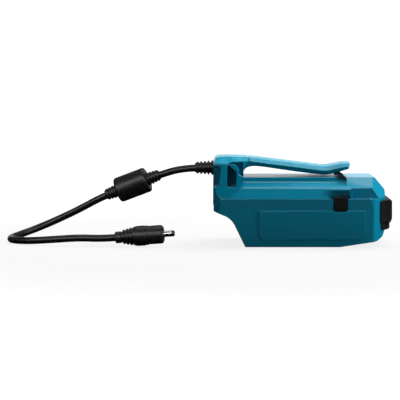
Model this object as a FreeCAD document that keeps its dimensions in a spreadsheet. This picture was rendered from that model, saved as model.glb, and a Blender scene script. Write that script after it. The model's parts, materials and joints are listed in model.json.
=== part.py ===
import FreeCAD, Part
import math
import os
import Sketcher
from types import SimpleNamespace
from FreeCAD import Placement, Rotation, Vector

# A slide-on battery holder: two housing halves, a belt hook, a push button, a covered outlet and a
# lead with a choke and a barrel plug. Millimetres, +Z up. +X points to the closed end with the
# outlet, -X to the lead, -Y to the side with the button. The origin is under the middle of the
# holder, in the plane of the skirt edges it stands on.

doc = FreeCAD.newDocument("BatteryHolder")
sheet = doc.addObject("Spreadsheet::Sheet", "Sizes")


# Sizes: numbers that carry the expression they come from

def text_of(number):
    return number.text if isinstance(number, Size) else repr(number)


def value_of(number):
    return number.value if isinstance(number, Size) else number


class Size:
    """A length with its value and the expression that gives it."""

    def __init__(self, text, value):
        self.text = text
        self.value = value

    def __add__(self, other):
        return Size(f"({self.text} + {text_of(other)})", self.value + value_of(other))

    def __radd__(self, other):
        return Size(f"({text_of(other)} + {self.text})", value_of(other) + self.value)

    def __sub__(self, other):
        return Size(f"({self.text} - {text_of(other)})", self.value - value_of(other))

    def __rsub__(self, other):
        return Size(f"({text_of(other)} - {self.text})", value_of(other) - self.value)

    def __mul__(self, other):
        return Size(f"({self.text} * {text_of(other)})", self.value * value_of(other))

    def __rmul__(self, other):
        return Size(f"({text_of(other)} * {self.text})", value_of(other) * self.value)

    def __truediv__(self, other):
        return Size(f"({self.text} / {text_of(other)})", self.value / value_of(other))

    def __neg__(self):
        return Size(f"(0 - {self.text})", -self.value)


DRIVING = [
    ("housing_length", 114.4, "left end to closed end"),
    ("cover_reach", 5.2, "how far the outlet cover stands out of the closed end"),
    ("top_height", 45.4, "skirt edge to top face"),
    ("top_half", 24.0, "half width of the flat top"),
    ("facet_start", 88.5, "cord end to the start of the facet beside the top, near the closed end"),
    ("facet_run", 7.5, "width of that facet"),
    ("facet_drop", 5.66, "drop across it"),
    ("facet_foot_run", 7.0, "distance of that facet's inner foot from the edge of the top"),
    ("facet_foot_drop", 6.4, "depth of that foot under the top"),
    ("cove_half", 25.4, "half width at the foot of the top's side step"),
    ("cove_height", 42.4, "height of that foot"),
    ("shoulder_half", 33.2, "half width at the shoulder's outer bend"),
    ("shoulder_height", 39.0, "height of the shoulder's outer bend"),
    ("ridge_half", 39.5, "half width at the ridge, the widest line"),
    ("ridge_height", 31.8, "height of the ridge"),
    ("waist_half", 38.7, "half width just under the ridge"),
    ("waist_height", 25.0, "height of the waist"),
    ("skirt_half", 39.0, "half width at the skirt edge"),
    ("wall", 2.2, "wall of the housing"),
    ("lip_height", 23.5, "underside of the left end"),
    ("hip_inset", 11.7, "left end to the bend of the skirt's slanted edge"),
    ("hip_height", 18.8, "height of that bend"),
    ("hip_radius", 13.0, "radius of that bend"),
    ("toe_inset", 20.9, "left end to the skirt edge's start"),
    ("heel_inset", 31.0, "closed end to where the skirt edge starts to rise"),
    ("end_slope_run", 7.0, "length of the slope between top and closed end"),
    ("end_slope_drop", 8.2, "height of that slope"),
    ("end_flat_half", 24.5, "half width of the flat closed end"),
    ("end_corner_run", 7.3, "closed end to the bend of the corner, seen from above"),
    ("end_corner_half", 38.0, "half width at that bend"),
    ("left_corner_radius", 7.0, "rounding of the upright corners at the left end"),
    ("notch_run", 22.5, "length of the side notch beside the closed end"),
    ("notch_half", 33.4, "half width at the back of that notch"),
    ("panel_proud", 0.35, "how far the bare side panel stands proud"),
    ("tower_half", 27.0, "half width of the tower under the hook"),
    ("tower_foot_half", 39.2, "half width of the tower's leaning sides at their foot"),
    ("tower_foot", 32.3, "height of that foot"),
    ("tower_height", 54.4, "height of the tower's sides"),
    ("tower_length", 19.6, "length of the tower"),
    ("tower_core_half", 17.0, "half width of the tower behind its windows"),
    ("tower_room_half", 9.0, "half width of the room in the tower"),
    ("neck_half", 22.0, "half width of the raised core under the hook's cap"),
    ("neck_height", 56.0, "height of that core"),
    ("channel_half", 26.0, "half width of the battery's upper channel"),
    ("channel_roof", 30.0, "height of the channel's roof"),
    ("roof_wall", 2.0, "thickness of the channel's roof and sides"),
    ("pack_half", 36.8, "half width of the battery space between the skirts"),
    ("pack_height", 20.0, "height of that wide space"),
    ("pack_length", 95.8, "left end to the wall that stops the battery"),
    ("rail_depth", 3.0, "how far the battery rails stand into the channel"),
    ("rail_low", 22.5, "underside of the rails"),
    ("rail_high", 25.3, "top of the rails"),
    ("room_half", 31.4, "half width of the upper room for the board"),
    ("floor_height", 8.3, "floor of the room behind the closed end"),
    ("lead_height", 50.6, "height of the lead's exit"),
    ("cord_radius", 2.4, "radius of the lead"),
    ("boot_hole_radius", 3.35, "hole for the strain relief"),
    ("screw_radius", 1.5, "thread of the shell screws"),
    ("screw_head_radius", 2.4, "head of the shell screws"),
    ("screw_head_height", 2.2, "height of that head"),
    ("screw_length", 18.0, "shank of the shell screws"),
    ("screw_seat", 10.0, "the head's seat, from the parting plane"),
    ("boss_radius", 3.8, "screw bosses"),
    ("bore_gap", 0.01, "radial gap of a screw in its pilot hole"),
    ("head_gap", 0.25, "radial gap around a screw head"),
    ("hook_screw_radius", 1.25, "thread of the hook's screws"),
    ("hook_screw_length", 9.0, "shank of the hook's screws"),
    ("hook_screw_y", 13.0, "hook screws, from the middle"),
    ("hook_screw_inset", 9.8, "left end to the hook's screws"),
    ("hook_height", 59.1, "top of the hook's cap"),
    ("hook_flat_half", 17.5, "half width of the hook's flat top"),
    ("hook_arm_half", 20.5, "half width of the hook's arm"),
    ("hook_bevel", 2.4, "bevels along the hook's arm"),
    ("hook_dip", 52.6, "top of the arm at its lowest place"),
    ("hook_dip_inset", 39.1, "closed end to the arm's lowest place"),
    ("hook_tip", 54.9, "top of the arm at its tip"),
    ("hook_tip_inset", 22.7, "closed end to the arm's tip"),
    ("hook_thick", 6.1, "depth of the arm"),
    ("hook_skin", 3.0, "skin of the arm over its hollow underside"),
    ("hook_split", 23.4, "left end to the neck where the arm flexes"),
    ("flex_gap", 0.3, "gap at a place that bends"),
    ("catch_inset", 31.6, "closed end to the upright face of the catch"),
    ("catch_length", 5.2, "length of the catch at its foot"),
    ("catch_half", 24.8, "outer edge of each catch wedge from the middle"),
    ("catch_inner_half", 16.5, "inner edge of each catch wedge from the middle"),
    ("catch_rise", 3.0, "height of the catch over the top face"),
    ("inlay", 1.2, "depth of the catch's seat"),
    ("button_inset", 30.5, "closed end to the button's middle"),
    ("button_height", 28.5, "height of the button's middle"),
    ("button_wide", 8.7, "width of the button"),
    ("button_tall", 9.4, "height of the button"),
    ("button_round", 1.6, "corner radius of the button"),
    ("button_face", 39.4, "the button's face, from the middle plane"),
    ("button_gap", 0.35, "gap around the button"),
    ("button_back", 33.3, "back of the button's cap"),
    ("button_flange", 1.0, "flange that keeps the button in"),
    ("button_travel", 0.8, "how far the button goes in"),
    ("recess_half", 35.5, "back of the recess over the button"),
    ("plunger_radius", 1.2, "plunger of the switch"),
    ("plunger_gap", 0.05, "radial gap around the plunger"),
    ("switch_size", 6.0, "side of the switch body"),
    ("switch_depth", 1.6, "depth of the switch body"),
    ("board_thick", 1.6, "main board and outlet board"),
    ("board_height", 33.6, "underside of the main board"),
    ("board_half", 27.4, "half width of the main board"),
    ("small_board", 1.0, "thickness of the switch board"),
    ("usb_half", 6.95, "half width of the outlet's metal shell"),
    ("usb_tall", 6.7, "height of that shell"),
    ("usb_long", 13.8, "length of that shell"),
    ("usb_skin", 0.4, "metal of that shell"),
    ("usb_floor", 18.8, "top of the outlet board"),
    ("usb_gap", 0.25, "gap around the shell in the end wall"),
    ("cover_half", 32.6, "half width of the outlet cover, which wraps round the end's corners"),
    ("cover_front_half", 18.0, "half width of the cover's flat front"),
    ("cover_low", 15.6, "lower edge of the cover"),
    ("cover_high", 30.6, "upper edge of the cover"),
    ("cover_hinge_reach", 3.5, "closed end to the strap's bending line"),
    ("strap_half", 31.4, "half width of the cover's strap"),
    ("strap_low", 10.9, "lower edge of the strap"),
    ("blade_y", 14.0, "supply blades, from the middle"),
    ("blade_thick", 1.0, "thickness of the supply blades"),
    ("signal_thick", 0.6, "thickness of the signal blades"),
    ("signal_pitch", 4.0, "spacing of the signal blades"),
    ("slot_gap", 0.05, "gap on each side of a blade in its slot"),
    ("choke_radius", 8.6, "case of the choke"),
    ("choke_length", 22.4, "length of that case"),
    ("core_radius", 6.6, "ferrite sleeve"),
    ("core_length", 16.0, "length of that sleeve"),
    ("choke_boot_length", 8.6, "ribbed end of the choke case"),
    ("plug_length", 32.5, "moulded body of the plug"),
    ("plug_ring_radius", 6.7, "widest ring of the plug"),
    ("barrel_radius", 2.0, "plug barrel, outside"),
    ("barrel_bore", 0.85, "plug barrel, inside"),
    ("barrel_length", 7.2, "bare length of the plug, tip included"),
]

size = {}
for row, (alias, value, note) in enumerate(DRIVING, start=1):
    sheet.set(f"A{row}", alias)
    sheet.set(f"B{row}", str(value))
    sheet.set(f"C{row}", note)
    sheet.setAlias(f"B{row}", alias)
    size[alias] = Size(f"Sizes.{alias}", value)
doc.recompute()
v = SimpleNamespace(**size)

left = -(v.housing_length + v.cover_reach) / 2
right = left + v.housing_length


# Building blocks

NODES = []


def keep(item, label):
    """Gives a finished piece its name and puts it on the list of pieces."""
    item.Label = label
    NODES.append(item)
    return item


def bind(item, prop, number):
    """Sets a property to a number, or ties it to the sheet if the number is a Size."""
    if isinstance(number, Size):
        item.setExpression(prop, number.text)
    else:
        item.setExpression(prop, repr(number))


def new_body(label):
    return keep(doc.addObject("PartDesign::Body", label), label)


def new_sketch(body, name, plane, height):
    """A sketch on one of the body's own origin planes, lifted along that plane's normal."""
    sketch = body.newObject("Sketcher::SketchObject", name)
    role = plane + "_Plane"
    support = next(item for item in body.Origin.OriginFeatures if item.Role == role)
    sketch.AttachmentSupport = [(support, "")]
    sketch.MapMode = "FlatFace"
    bind(sketch, "AttachmentOffset.Base.z", height)
    return sketch


def fix(sketch, constraint, number):
    """Adds a constraint whose number comes from the sheet."""
    index = sketch.addConstraint(constraint)
    if isinstance(number, Size):
        sketch.setExpression(f"Constraints[{index}]", number.text)


def fix_point(sketch, geometry, position, x, y):
    """Ties a point to its two coordinates."""
    fix(sketch, Sketcher.Constraint("DistanceX", -1, 1, geometry, position, value_of(x)), x)
    fix(sketch, Sketcher.Constraint("DistanceY", -1, 1, geometry, position, value_of(y)), y)


def draw_outline(sketch, corners):
    """Draws a closed outline. A corner is (x, y), or (x, y, radius) where it is rounded."""
    spots = [Vector(value_of(c[0]), value_of(c[1]), 0) for c in corners]
    count = len(corners)
    arrive, leave, radii, signs = [], [], [], []
    for i, corner in enumerate(corners):
        into = (spots[i] - spots[i - 1]).normalize()
        out = (spots[(i + 1) % count] - spots[i]).normalize()
        radius = value_of(corner[2]) if len(corner) > 2 else 0.0
        turn = into.getAngle(out)
        trim = radius * math.tan(turn / 2)
        arrive.append(spots[i] - into * trim)
        leave.append(spots[i] + out * trim)
        radii.append(radius)
        signs.append(1 if into.cross(out).z > 0 else -1)

    lines = []
    for i in range(count):
        lines.append(sketch.addGeometry(Part.LineSegment(leave[i], arrive[(i + 1) % count]), False))
    for i, corner in enumerate(corners):
        before, after = lines[i - 1], lines[i]
        if not radii[i]:
            sketch.addConstraint(Sketcher.Constraint("Coincident", before, 2, after, 1))
            fix_point(sketch, after, 1, corner[0], corner[1])
            continue
        into = (spots[i] - spots[i - 1]).normalize()
        centre = arrive[i] + Vector(-into.y, into.x, 0) * (radii[i] * signs[i])
        first, last = (arrive[i], leave[i]) if signs[i] > 0 else (leave[i], arrive[i])
        angles = [math.atan2(p.y - centre.y, p.x - centre.x) for p in (first, last)]
        circle = Part.Circle(centre, Vector(0, 0, 1), radii[i])
        arc = sketch.addGeometry(Part.ArcOfCircle(circle, angles[0], angles[1]), False)
        apex = sketch.addGeometry(Part.Point(spots[i]), True)
        near_end, far_end = (1, 2) if signs[i] > 0 else (2, 1)
        sketch.addConstraint(Sketcher.Constraint("Tangent", before, 2, arc, near_end))
        sketch.addConstraint(Sketcher.Constraint("Tangent", arc, far_end, after, 1))
        sketch.addConstraint(Sketcher.Constraint("PointOnObject", apex, 1, before))
        sketch.addConstraint(Sketcher.Constraint("PointOnObject", apex, 1, after))
        fix_point(sketch, apex, 1, corner[0], corner[1])
        fix(sketch, Sketcher.Constraint("Radius", arc, radii[i]), corner[2])


def draw_circle(sketch, x, y, radius):
    """Draws a circle tied to its centre and radius."""
    centre = Vector(value_of(x), value_of(y), 0)
    circle = sketch.addGeometry(Part.Circle(centre, Vector(0, 0, 1), value_of(radius)), False)
    fix_point(sketch, circle, 3, x, y)
    fix(sketch, Sketcher.Constraint("Radius", circle, value_of(radius)), radius)


def prism(body, kind, name, plane, low, high, outlines=(), circles=(), refine=True):
    """Pads or pockets outlines between two heights, measured along +X, +Y or +Z."""
    adds = kind == "Pad"
    if plane == "XZ":
        height = -high if adds else -low
    else:
        height = low if adds else high
    sketch = new_sketch(body, name + "_sketch", plane, height)
    for corners in outlines:
        draw_outline(sketch, corners)
    for circle in circles:
        draw_circle(sketch, *circle)
    before = body.Shape.Volume if body.Tip and not body.Shape.isNull() else 0.0
    feature = body.newObject("PartDesign::" + kind, name)
    feature.Profile = sketch
    feature.Refine = refine
    feature.Type = "Length"
    bind(feature, "Length", high - low)
    doc.recompute()
    change = body.Shape.Volume - before
    if (change <= 0) if adds else (change >= 0):
        raise RuntimeError(f"{body.Label}: {name} changes nothing")
    return feature


def pad(body, name, plane, low, high, outlines=(), circles=(), refine=True):
    return prism(body, "Pad", name, plane, low, high, outlines, circles, refine)


def pocket(body, name, plane, low, high, outlines=(), circles=()):
    return prism(body, "Pocket", name, plane, low, high, outlines, circles)


def rectangle(x_low, x_high, y_low, y_high, radius=None):
    """The four corners of a rectangle, rounded if a radius is given."""
    corners = [(x_low, y_low), (x_high, y_low), (x_high, y_high), (x_low, y_high)]
    return corners if radius is None else [corner + (radius,) for corner in corners]


def span(side, low, high):
    """The Y range from low to high on one side of the middle plane, in rising order."""
    return (low, high) if side > 0 else (-high, -low)


def turned(label, profile):
    """A piece turned about its own X axis from (distance, radius) corners."""
    body = new_body(label)
    sketch = new_sketch(body, "profile", "XZ", 0)
    draw_outline(sketch, profile)
    feature = body.newObject("PartDesign::Revolution", "turn")
    feature.Profile = sketch
    feature.ReferenceAxis = (sketch, ["H_Axis"])
    feature.Angle = 360
    doc.recompute()
    return body


def place_along(item, start, direction):
    """Moves a turned piece so that its X axis starts at a point and runs along a direction."""
    item.Placement = Placement(start, Rotation(Vector(1, 0, 0), direction))


def grouped(label, pieces):
    """One node that holds several equal or like pieces as separate solids."""
    for piece in pieces:
        NODES.remove(piece)
    compound = doc.addObject("Part::Compound", label)
    compound.Links = pieces
    return keep(compound, label)


# Places that several pieces share

toe = left + v.toe_inset
tower_end = left + v.tower_length
split = left + v.hook_split
pack_end = left + v.pack_length
stop_wall = pack_end + v.roof_wall
inner_end = right - v.wall
heel = right - v.heel_inset
button_x = right - v.button_inset
catch_start = right - v.catch_inset
catch_end = catch_start + v.catch_length
catch_seat = v.top_height - v.inlay
roof_top = v.channel_roof + v.roof_wall
board_top = v.board_height + v.board_thick
hook_screw_x = left + v.hook_screw_inset
hook_dip_x = right - v.hook_dip_inset
hook_tip_x = right - v.hook_tip_inset
block_start, block_end = pack_end - 22, pack_end - 3
tang_start, tang_end = block_start + 8, block_start + 13
hinge_x = right + v.cover_hinge_reach

# The shell screws stand across the housing at these (x, z) places, in bosses that reach this far
# from the parting plane. The near half's boss over the board hangs from the roof and is short
pilot_depth = v.screw_length - v.screw_seat + 2
wall_reach = v.room_half + 0.6
end_reach = 30.0
screw_spots = [
    (left + 9.3, roof_top + 3.2, wall_reach),
    (left + 47.8, board_top + 4.6, wall_reach),
    (right - 7.1, v.usb_floor + v.usb_tall + v.boss_radius + 0.3, end_reach),
    (right - 9.6, v.floor_height + 3.2, end_reach),
]
over_board = 1


# Housing halves

def build_shell(label, side):
    """One half of the housing. side is -1 for the near half and +1 for the far half."""
    body = new_body(label)

    def across(low, high):
        return span(side, low, high)

    # Outer form: one section carried along the whole length
    section = [
        (0, v.top_height),
        (side * v.top_half, v.top_height, 0.8),
        (side * v.cove_half, v.cove_height, 3.5),
        (side * v.shoulder_half, v.shoulder_height, 7.0),
        (side * v.ridge_half, v.ridge_height, 0.7),
        (side * v.waist_half, v.waist_height, 6.0),
        (side * v.skirt_half, 0),
        (0, 0),
    ]
    pad(body, "outer_form", "YZ", left, right, [section])
    facet = [
        (side * (v.top_half - 2), v.top_height - 1.4),
        (side * v.top_half, v.top_height),
        (side * (v.top_half + v.facet_run), v.top_height - v.facet_drop),
        (side * (v.top_half + v.facet_foot_run), v.top_height - v.facet_foot_drop),
        (side * (v.top_half - 2), v.top_height - 3.4),
    ]
    pad(body, "end_facet", "YZ", left + v.facet_start, right, [facet])

    # The skirt's slanted front edge, the rising rear edge and the sloped end
    outside = v.ridge_half + 1
    slant = [
        (left - 1, v.lip_height + 0.4),
        (left + v.hip_inset, v.hip_height, v.hip_radius),
        (toe, 0),
        (toe, -1),
        (left - 1, -1),
    ]
    pocket(body, "front_slant", "XZ", *across(0, outside), [slant])
    rise = [
        (heel, 0),
        (right - 6.2, 3.7, 8.0),
        (right - 2.0, 6.2, 3.0),
        (right, 11.6),
        (right + 1, 11.6),
        (right + 1, -1),
        (heel, -1),
    ]
    pocket(body, "rear_rise", "XZ", *across(0, outside), [rise])
    slope = [
        (right - v.end_slope_run, v.top_height),
        (right, v.top_height - v.end_slope_drop),
        (right + 1, v.top_height - v.end_slope_drop),
        (right + 1, v.top_height + 1),
        (right - v.end_slope_run, v.top_height + 1),
    ]
    pocket(body, "end_slope", "XZ", *across(0, outside), [slope])

    # Upright corners, seen from above
    end_corner = [
        (right - v.end_corner_run - 3.6, side * v.ridge_half),
        (right - v.end_corner_run, side * v.end_corner_half, 5.0),
        (right, side * v.end_flat_half),
        (right + 1, side * v.end_flat_half),
        (right + 1, side * outside),
        (right - v.end_corner_run - 3.6, side * outside),
    ]
    pocket(body, "end_corner", "XY", -1, v.top_height + 1, [end_corner])

    # The tower that carries the hook: its sides lean out to the shoulder, and it has a raised core
    tower = [
        (left, v.tower_foot - 1.3),
        (left, v.tower_height),
        (tower_end, v.tower_height),
        (tower_end, v.top_height + 1.0),
        (tower_end - 3.9, v.top_height - 4.4),
        (tower_end - 8.8, v.tower_foot - 1.3),
    ]
    pad(body, "tower", "XZ", *across(0, v.tower_foot_half), [tower])
    lean = [
        (side * v.tower_half, v.tower_height),
        (side * v.tower_foot_half, v.tower_foot),
        (side * (v.tower_foot_half + 1), v.tower_foot),
        (side * (v.tower_foot_half + 1), v.tower_height + 1),
        (side * v.tower_half, v.tower_height + 1),
    ]
    pocket(body, "tower_lean", "YZ", left - 1, tower_end + 1, [lean])
    neck = rectangle(left + 1.6, tower_end - 1.2, v.tower_height - 0.5, v.neck_height)
    pad(body, "neck", "XZ", *across(0, v.neck_half), [neck])

    # The rounded upright corner at the left end
    left_corner = [
        (left, side * (v.ridge_half - v.left_corner_radius - 1)),
        (left, side * v.ridge_half, v.left_corner_radius),
        (left + v.left_corner_radius + 1, side * v.ridge_half),
        (left + v.left_corner_radius + 1, side * outside),
        (left - 1, side * outside),
        (left - 1, side * (v.ridge_half - v.left_corner_radius - 1)),
    ]
    pocket(body, "left_corner", "XY", -1, v.top_height + 1, [left_corner])

    # The large slanted facet where top, side and closed end meet
    facet = body.newObject("PartDesign::SubtractiveBox", "corner_facet")
    reach = 40.0
    facet.Length = reach
    facet.Width = reach
    facet.Height = reach
    facing = Rotation(Vector(0, 0, 1), Vector(0.75, 0.43 * side, 0.50))
    corner = Vector(value_of(right) - 8.1, side * value_of(v.top_half), value_of(v.top_height) - 0.2)
    facet.Placement = Placement(corner - facing.multVec(Vector(reach / 2, reach / 2, 0)), facing)
    doc.recompute()

    # Side notch beside the closed end, with an upright back
    notch_start = right - v.notch_run
    notch = [
        (notch_start, v.ridge_height),
        (notch_start - 1.1, v.shoulder_height + 3),
        (right + 1, v.shoulder_height + 3),
        (right + 1, v.ridge_height),
    ]
    pocket(body, "side_notch", "XZ", *across(v.notch_half, outside), [notch])

    # The bare raised panel on the side
    panel = [
        (left + 29.9, 7.2),
        (left + 32.3, 4.8),
        (heel + 14.4, 4.8),
        (heel + 17.0, 7.2),
        (heel + 17.0, v.waist_height - 1.1),
        (left + 29.9, v.waist_height - 1.1),
    ]
    pad(body, "panel", "XZ", *across(v.skirt_half - 1.2, v.skirt_half + v.panel_proud), [panel])

    # Windows in the tower's side, with the pillar and the bent leg left standing between them
    window_top = v.tower_height - 1.0
    windows = [
        [
            (left - 1, 39.4),
            (left + 3.8, 39.4),
            (left + 4.6, window_top - 1.2, 1.0),
            (left + 3.0, window_top),
            (left - 1, window_top),
        ],
        [
            (left + 8.7, 39.4, 1.4),
            (left + 14.6, 39.4),
            (left + 14.9, 42.0),
            (left + 15.1, 49.3, 2.0),
            (left + 10.4, window_top),
            (left + 9.1, window_top, 0.5),
        ],
        [
            (left + 13.4, v.tower_height + 0.6),
            (left + 16.8, v.top_height + 5.6, 2.0),
            (left + 16.9, v.top_height + 1.6),
            (tower_end + 1, v.top_height + 0.8),
            (tower_end + 1, v.tower_height + 0.6),
        ],
    ]
    pocket(body, "windows", "XZ", *across(v.tower_core_half, v.tower_foot_half + 1), windows)

    # Room for the board, room beside the channel and room behind the closed end. Under the tower the
    # upper room stays clear of the windows
    inside_top = v.top_height - v.wall
    core_half = v.tower_core_half - v.wall
    front_room = [
        (0, inside_top),
        (side * core_half, inside_top),
        (side * core_half, v.shoulder_height - 1.6),
        (side * v.room_half, v.shoulder_height - 1.6),
        (side * v.room_half, roof_top),
        (0, roof_top),
    ]
    pocket(body, "front_room", "YZ", left + v.wall, split + 2.6, [front_room])
    upper_room = [
        (0, inside_top),
        (side * (v.top_half - 1.4), inside_top),
        (side * (v.cove_half - 1.8), v.cove_height - 1.8),
        (side * v.room_half, v.shoulder_height - 1.6),
        (side * v.room_half, roof_top),
        (0, roof_top),
    ]
    pocket(body, "upper_room", "YZ", split + 2.1, right - 11.1, [upper_room])
    channel_side = v.channel_half + v.roof_wall
    side_room = [
        (side * channel_side, v.pack_height + v.wall),
        (side * (v.waist_half - v.wall), v.pack_height + v.wall),
        (side * (v.waist_half - v.wall), v.ridge_height - 1.3),
        (side * channel_side, v.ridge_height - 1.3),
    ]
    pocket(body, "side_room", "YZ", left + 13.8, stop_wall + 6, [side_room])
    end_room = [
        (stop_wall, 0),
        (stop_wall, side * (v.notch_half - v.wall)),
        (stop_wall + 6, side * (v.notch_half - v.wall)),
        (inner_end - 1.9, side * 25.0),
        (inner_end, side * 19.5),
        (inner_end, 0),
    ]
    pocket(body, "end_room", "XY", v.floor_height, v.board_height + 0.4, [end_room])
    tower_room = rectangle(left + v.wall, tower_end - 2.2, 0, side * v.tower_room_half)
    pocket(body, "tower_room", "XY", inside_top - 0.2, v.tower_height + 0.2, [tower_room])
    boot_hole = [(0, v.lead_height, v.boot_hole_radius)]
    pocket(body, "boot_hole", "YZ", left - 1, left + v.wall + 0.5, circles=boot_hole)

    # The battery's space: wide between the skirts, narrow above
    battery = [
        (0, -1),
        (side * v.pack_half, -1),
        (side * v.pack_half, v.pack_height),
        (side * v.channel_half, v.pack_height),
        (side * v.channel_half, v.channel_roof),
        (0, v.channel_roof),
    ]
    pocket(body, "battery_space", "YZ", left - 1, pack_end, [battery])
    rail_span = across(v.channel_half - v.rail_depth, v.channel_half + 0.5)
    rail = rectangle(left + 13.8, block_start - 4, *rail_span)
    pad(body, "rail", "XY", v.rail_low, v.rail_high, [rail])
    latch = rectangle(left + 10.8, left + 16.8, 0, side * 7)
    pocket(body, "latch_pocket", "XY", v.channel_roof - 1, roof_top, [latch])
    block_hole = rectangle(block_start - 0.2, block_end + 0.2, 0, side * 20.2)
    pocket(body, "block_hole", "XY", v.channel_roof - 1, roof_top, [block_hole])

    # Ribs that the board rests on
    for name, start in (("rib_front", left + 20.8), ("rib_rear", pack_end - 1.4)):
        rib = rectangle(start, start + 2.6, 0, side * v.room_half)
        pad(body, name, "XY", roof_top - 0.5, v.board_height, [rib])

    # Screw bosses: a pilot hole in the near half, a seat and a counterbore in the far half. The
    # far bosses run out to the wall, where the shoulder's slope cuts the middle one open
    head_room = v.screw_head_radius + v.head_gap
    for number, (x, z, reach) in enumerate(screw_spots):
        boss_end = pilot_depth + 2 if side < 0 and number == over_board else reach
        post = [(x, z, v.boss_radius)]
        pad(body, f"boss_{number}", "XZ", *across(0, boss_end), circles=post, refine=False)
        if side < 0:
            pilot = v.screw_radius + v.bore_gap
            pocket(body, f"pilot_{number}", "XZ", *across(0, pilot_depth), circles=[(x, z, pilot)])
        else:
            shank = v.screw_radius + 0.2
            pocket(body, f"shank_{number}", "XZ", 0, v.screw_seat, circles=[(x, z, shank)])
            pocket(body, f"seat_{number}", "XZ", v.screw_seat, outside, circles=[(x, z, head_room)])
    if side > 0:
        above = section[1:5] + [(v.ridge_half, v.top_height + 2), (v.top_half, v.top_height + 2)]
        middle = screw_spots[over_board][0]
        pocket(body, "boss_trim", "YZ", middle - 5, middle + 5, [above])

    # Holes for the outlet, the cover's strap, the hook's screws and the catch
    usb_half = v.usb_half + v.usb_gap
    usb_high = v.usb_floor + v.usb_tall + v.usb_gap
    outlet = rectangle(*across(0, usb_half), v.usb_floor - 0.2, usb_high)
    pocket(body, "outlet_hole", "YZ", inner_end - 1, right + 1, [outlet])
    strap = rectangle(*across(0, 5.2), 11.7, 14.4)
    pocket(body, "strap_hole", "YZ", inner_end - 1, right + 1, [strap])
    hook_pilot = [(hook_screw_x, side * v.hook_screw_y, v.hook_screw_radius + v.bore_gap)]
    pilot_floor = v.neck_height - v.hook_screw_length
    pocket(body, "hook_pilot", "XY", pilot_floor, v.neck_height + 1, circles=hook_pilot)
    seat = rectangle(catch_start, catch_end, *across(v.catch_inner_half, v.catch_half))
    pocket(body, "catch_seat", "XY", catch_seat, v.top_height + 1, [seat])

    if side < 0:
        cut_button_side(body)
    return body


def cut_button_side(body):
    """The thickened wall, recess, hole and flange room that the near half has for its button."""
    half_wide, half_tall = v.button_wide / 2, v.button_tall / 2
    thick = rectangle(button_x - 7.4, button_x + 7.2, v.pack_height + 1, 38.0)
    pad(body, "button_wall", "XZ", -v.waist_half + 0.4, -v.button_back - 0.2, [thick])
    recess = [
        (button_x - 7.6, v.ridge_height - 0.2, 0.8),
        (button_x - 5.5, v.ridge_height + 5.5, 0.8),
        (button_x + 5.1, v.ridge_height + 5.5, 0.8),
        (button_x + 6.7, v.ridge_height - 0.2, 0.8),
    ]
    pocket(body, "button_recess", "XZ", -v.ridge_half - 1, -v.recess_half, [recess])
    gap = v.button_gap
    hole = rectangle(
        button_x - half_wide - gap,
        button_x + half_wide + gap,
        v.button_height - half_tall - gap,
        v.button_height + half_tall + gap,
        v.button_round + gap,
    )
    pocket(body, "button_hole", "XZ", -v.ridge_half - 1, -v.button_back + 0.5, [hole])
    flange = rectangle(
        button_x - half_wide - 1.8,
        button_x + half_wide + 1.8,
        v.button_height - half_tall - 1.5,
        v.button_height + half_tall + 1.5,
    )
    pocket(body, "flange_room", "XZ", -v.button_back - 0.2, -v.channel_half - v.roof_wall, [flange])


near_shell = build_shell("near_shell", -1)
far_shell = build_shell("far_shell", 1)


# Belt hook

def build_hook_base():
    """The hook's cap over the tower, with the web that comes down behind the arm."""
    body = new_body("hook_base")
    cap = [
        (left + 0.2, v.tower_height),
        (left + 1.0, v.hook_height - 2.0),
        (left + 2.4, v.hook_height - 0.2, 0.8),
        (left + 6.7, v.hook_height + 0.2),
        (left + 16.2, v.hook_height + 0.2),
        (left + 17.0, v.hook_height - 0.2),
        (split, v.hook_height - 0.2),
        (split, v.tower_height),
    ]
    pad(body, "cap", "XZ", -v.tower_half + 0.2, v.tower_half - 0.2, [cap])
    web = [
        (tower_end + 0.1, v.top_height + 0.3),
        (tower_end + 0.6, v.top_height + 0.3),
        (tower_end + 1.2, v.top_height + 4.2, 2.0),
        (split, v.top_height + 6.3),
        (split, v.tower_height + 0.5),
        (tower_end + 0.1, v.tower_height + 0.5),
    ]
    pad(body, "web", "XZ", -v.hook_flat_half, v.hook_flat_half, [web])
    for side in (-1, 1):
        bevel = [
            (side * v.hook_flat_half, v.hook_height + 0.2),
            (side * v.tower_half, v.tower_height),
            (side * (v.tower_half + 1), v.tower_height),
            (side * (v.tower_half + 1), v.hook_height + 1),
            (side * v.hook_flat_half, v.hook_height + 1),
        ]
        pocket(body, f"bevel_{side}", "YZ", left - 1, split + 1, [bevel])
        narrow = [
            (left + 12.9, side * (v.tower_half - 0.2)),
            (split - 0.6, side * v.hook_arm_half),
            (split + 1, side * v.hook_arm_half),
            (split + 1, side * (v.tower_half + 1)),
            (left + 12.9, side * (v.tower_half + 1)),
        ]
        pocket(body, f"narrow_{side}", "XY", v.top_height, v.hook_height + 1, [narrow])
    core = rectangle(left + 1.5, tower_end - 1.1, -v.neck_half - 0.1, v.neck_half + 0.1)
    pocket(body, "core_room", "XY", v.tower_height - 1, v.neck_height, [core])
    places = [(hook_screw_x, side * v.hook_screw_y) for side in (-1, 1)]
    shank = v.hook_screw_radius + 0.2
    pocket(body, "holes", "XY", v.tower_height, v.hook_height + 1, circles=[p + (shank,) for p in places])
    head = v.hook_screw_radius + 1.35
    pocket(body, "heads", "XY", v.hook_height - 1.4, v.hook_height + 1, circles=[p + (head,) for p in places])
    return body


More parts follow.
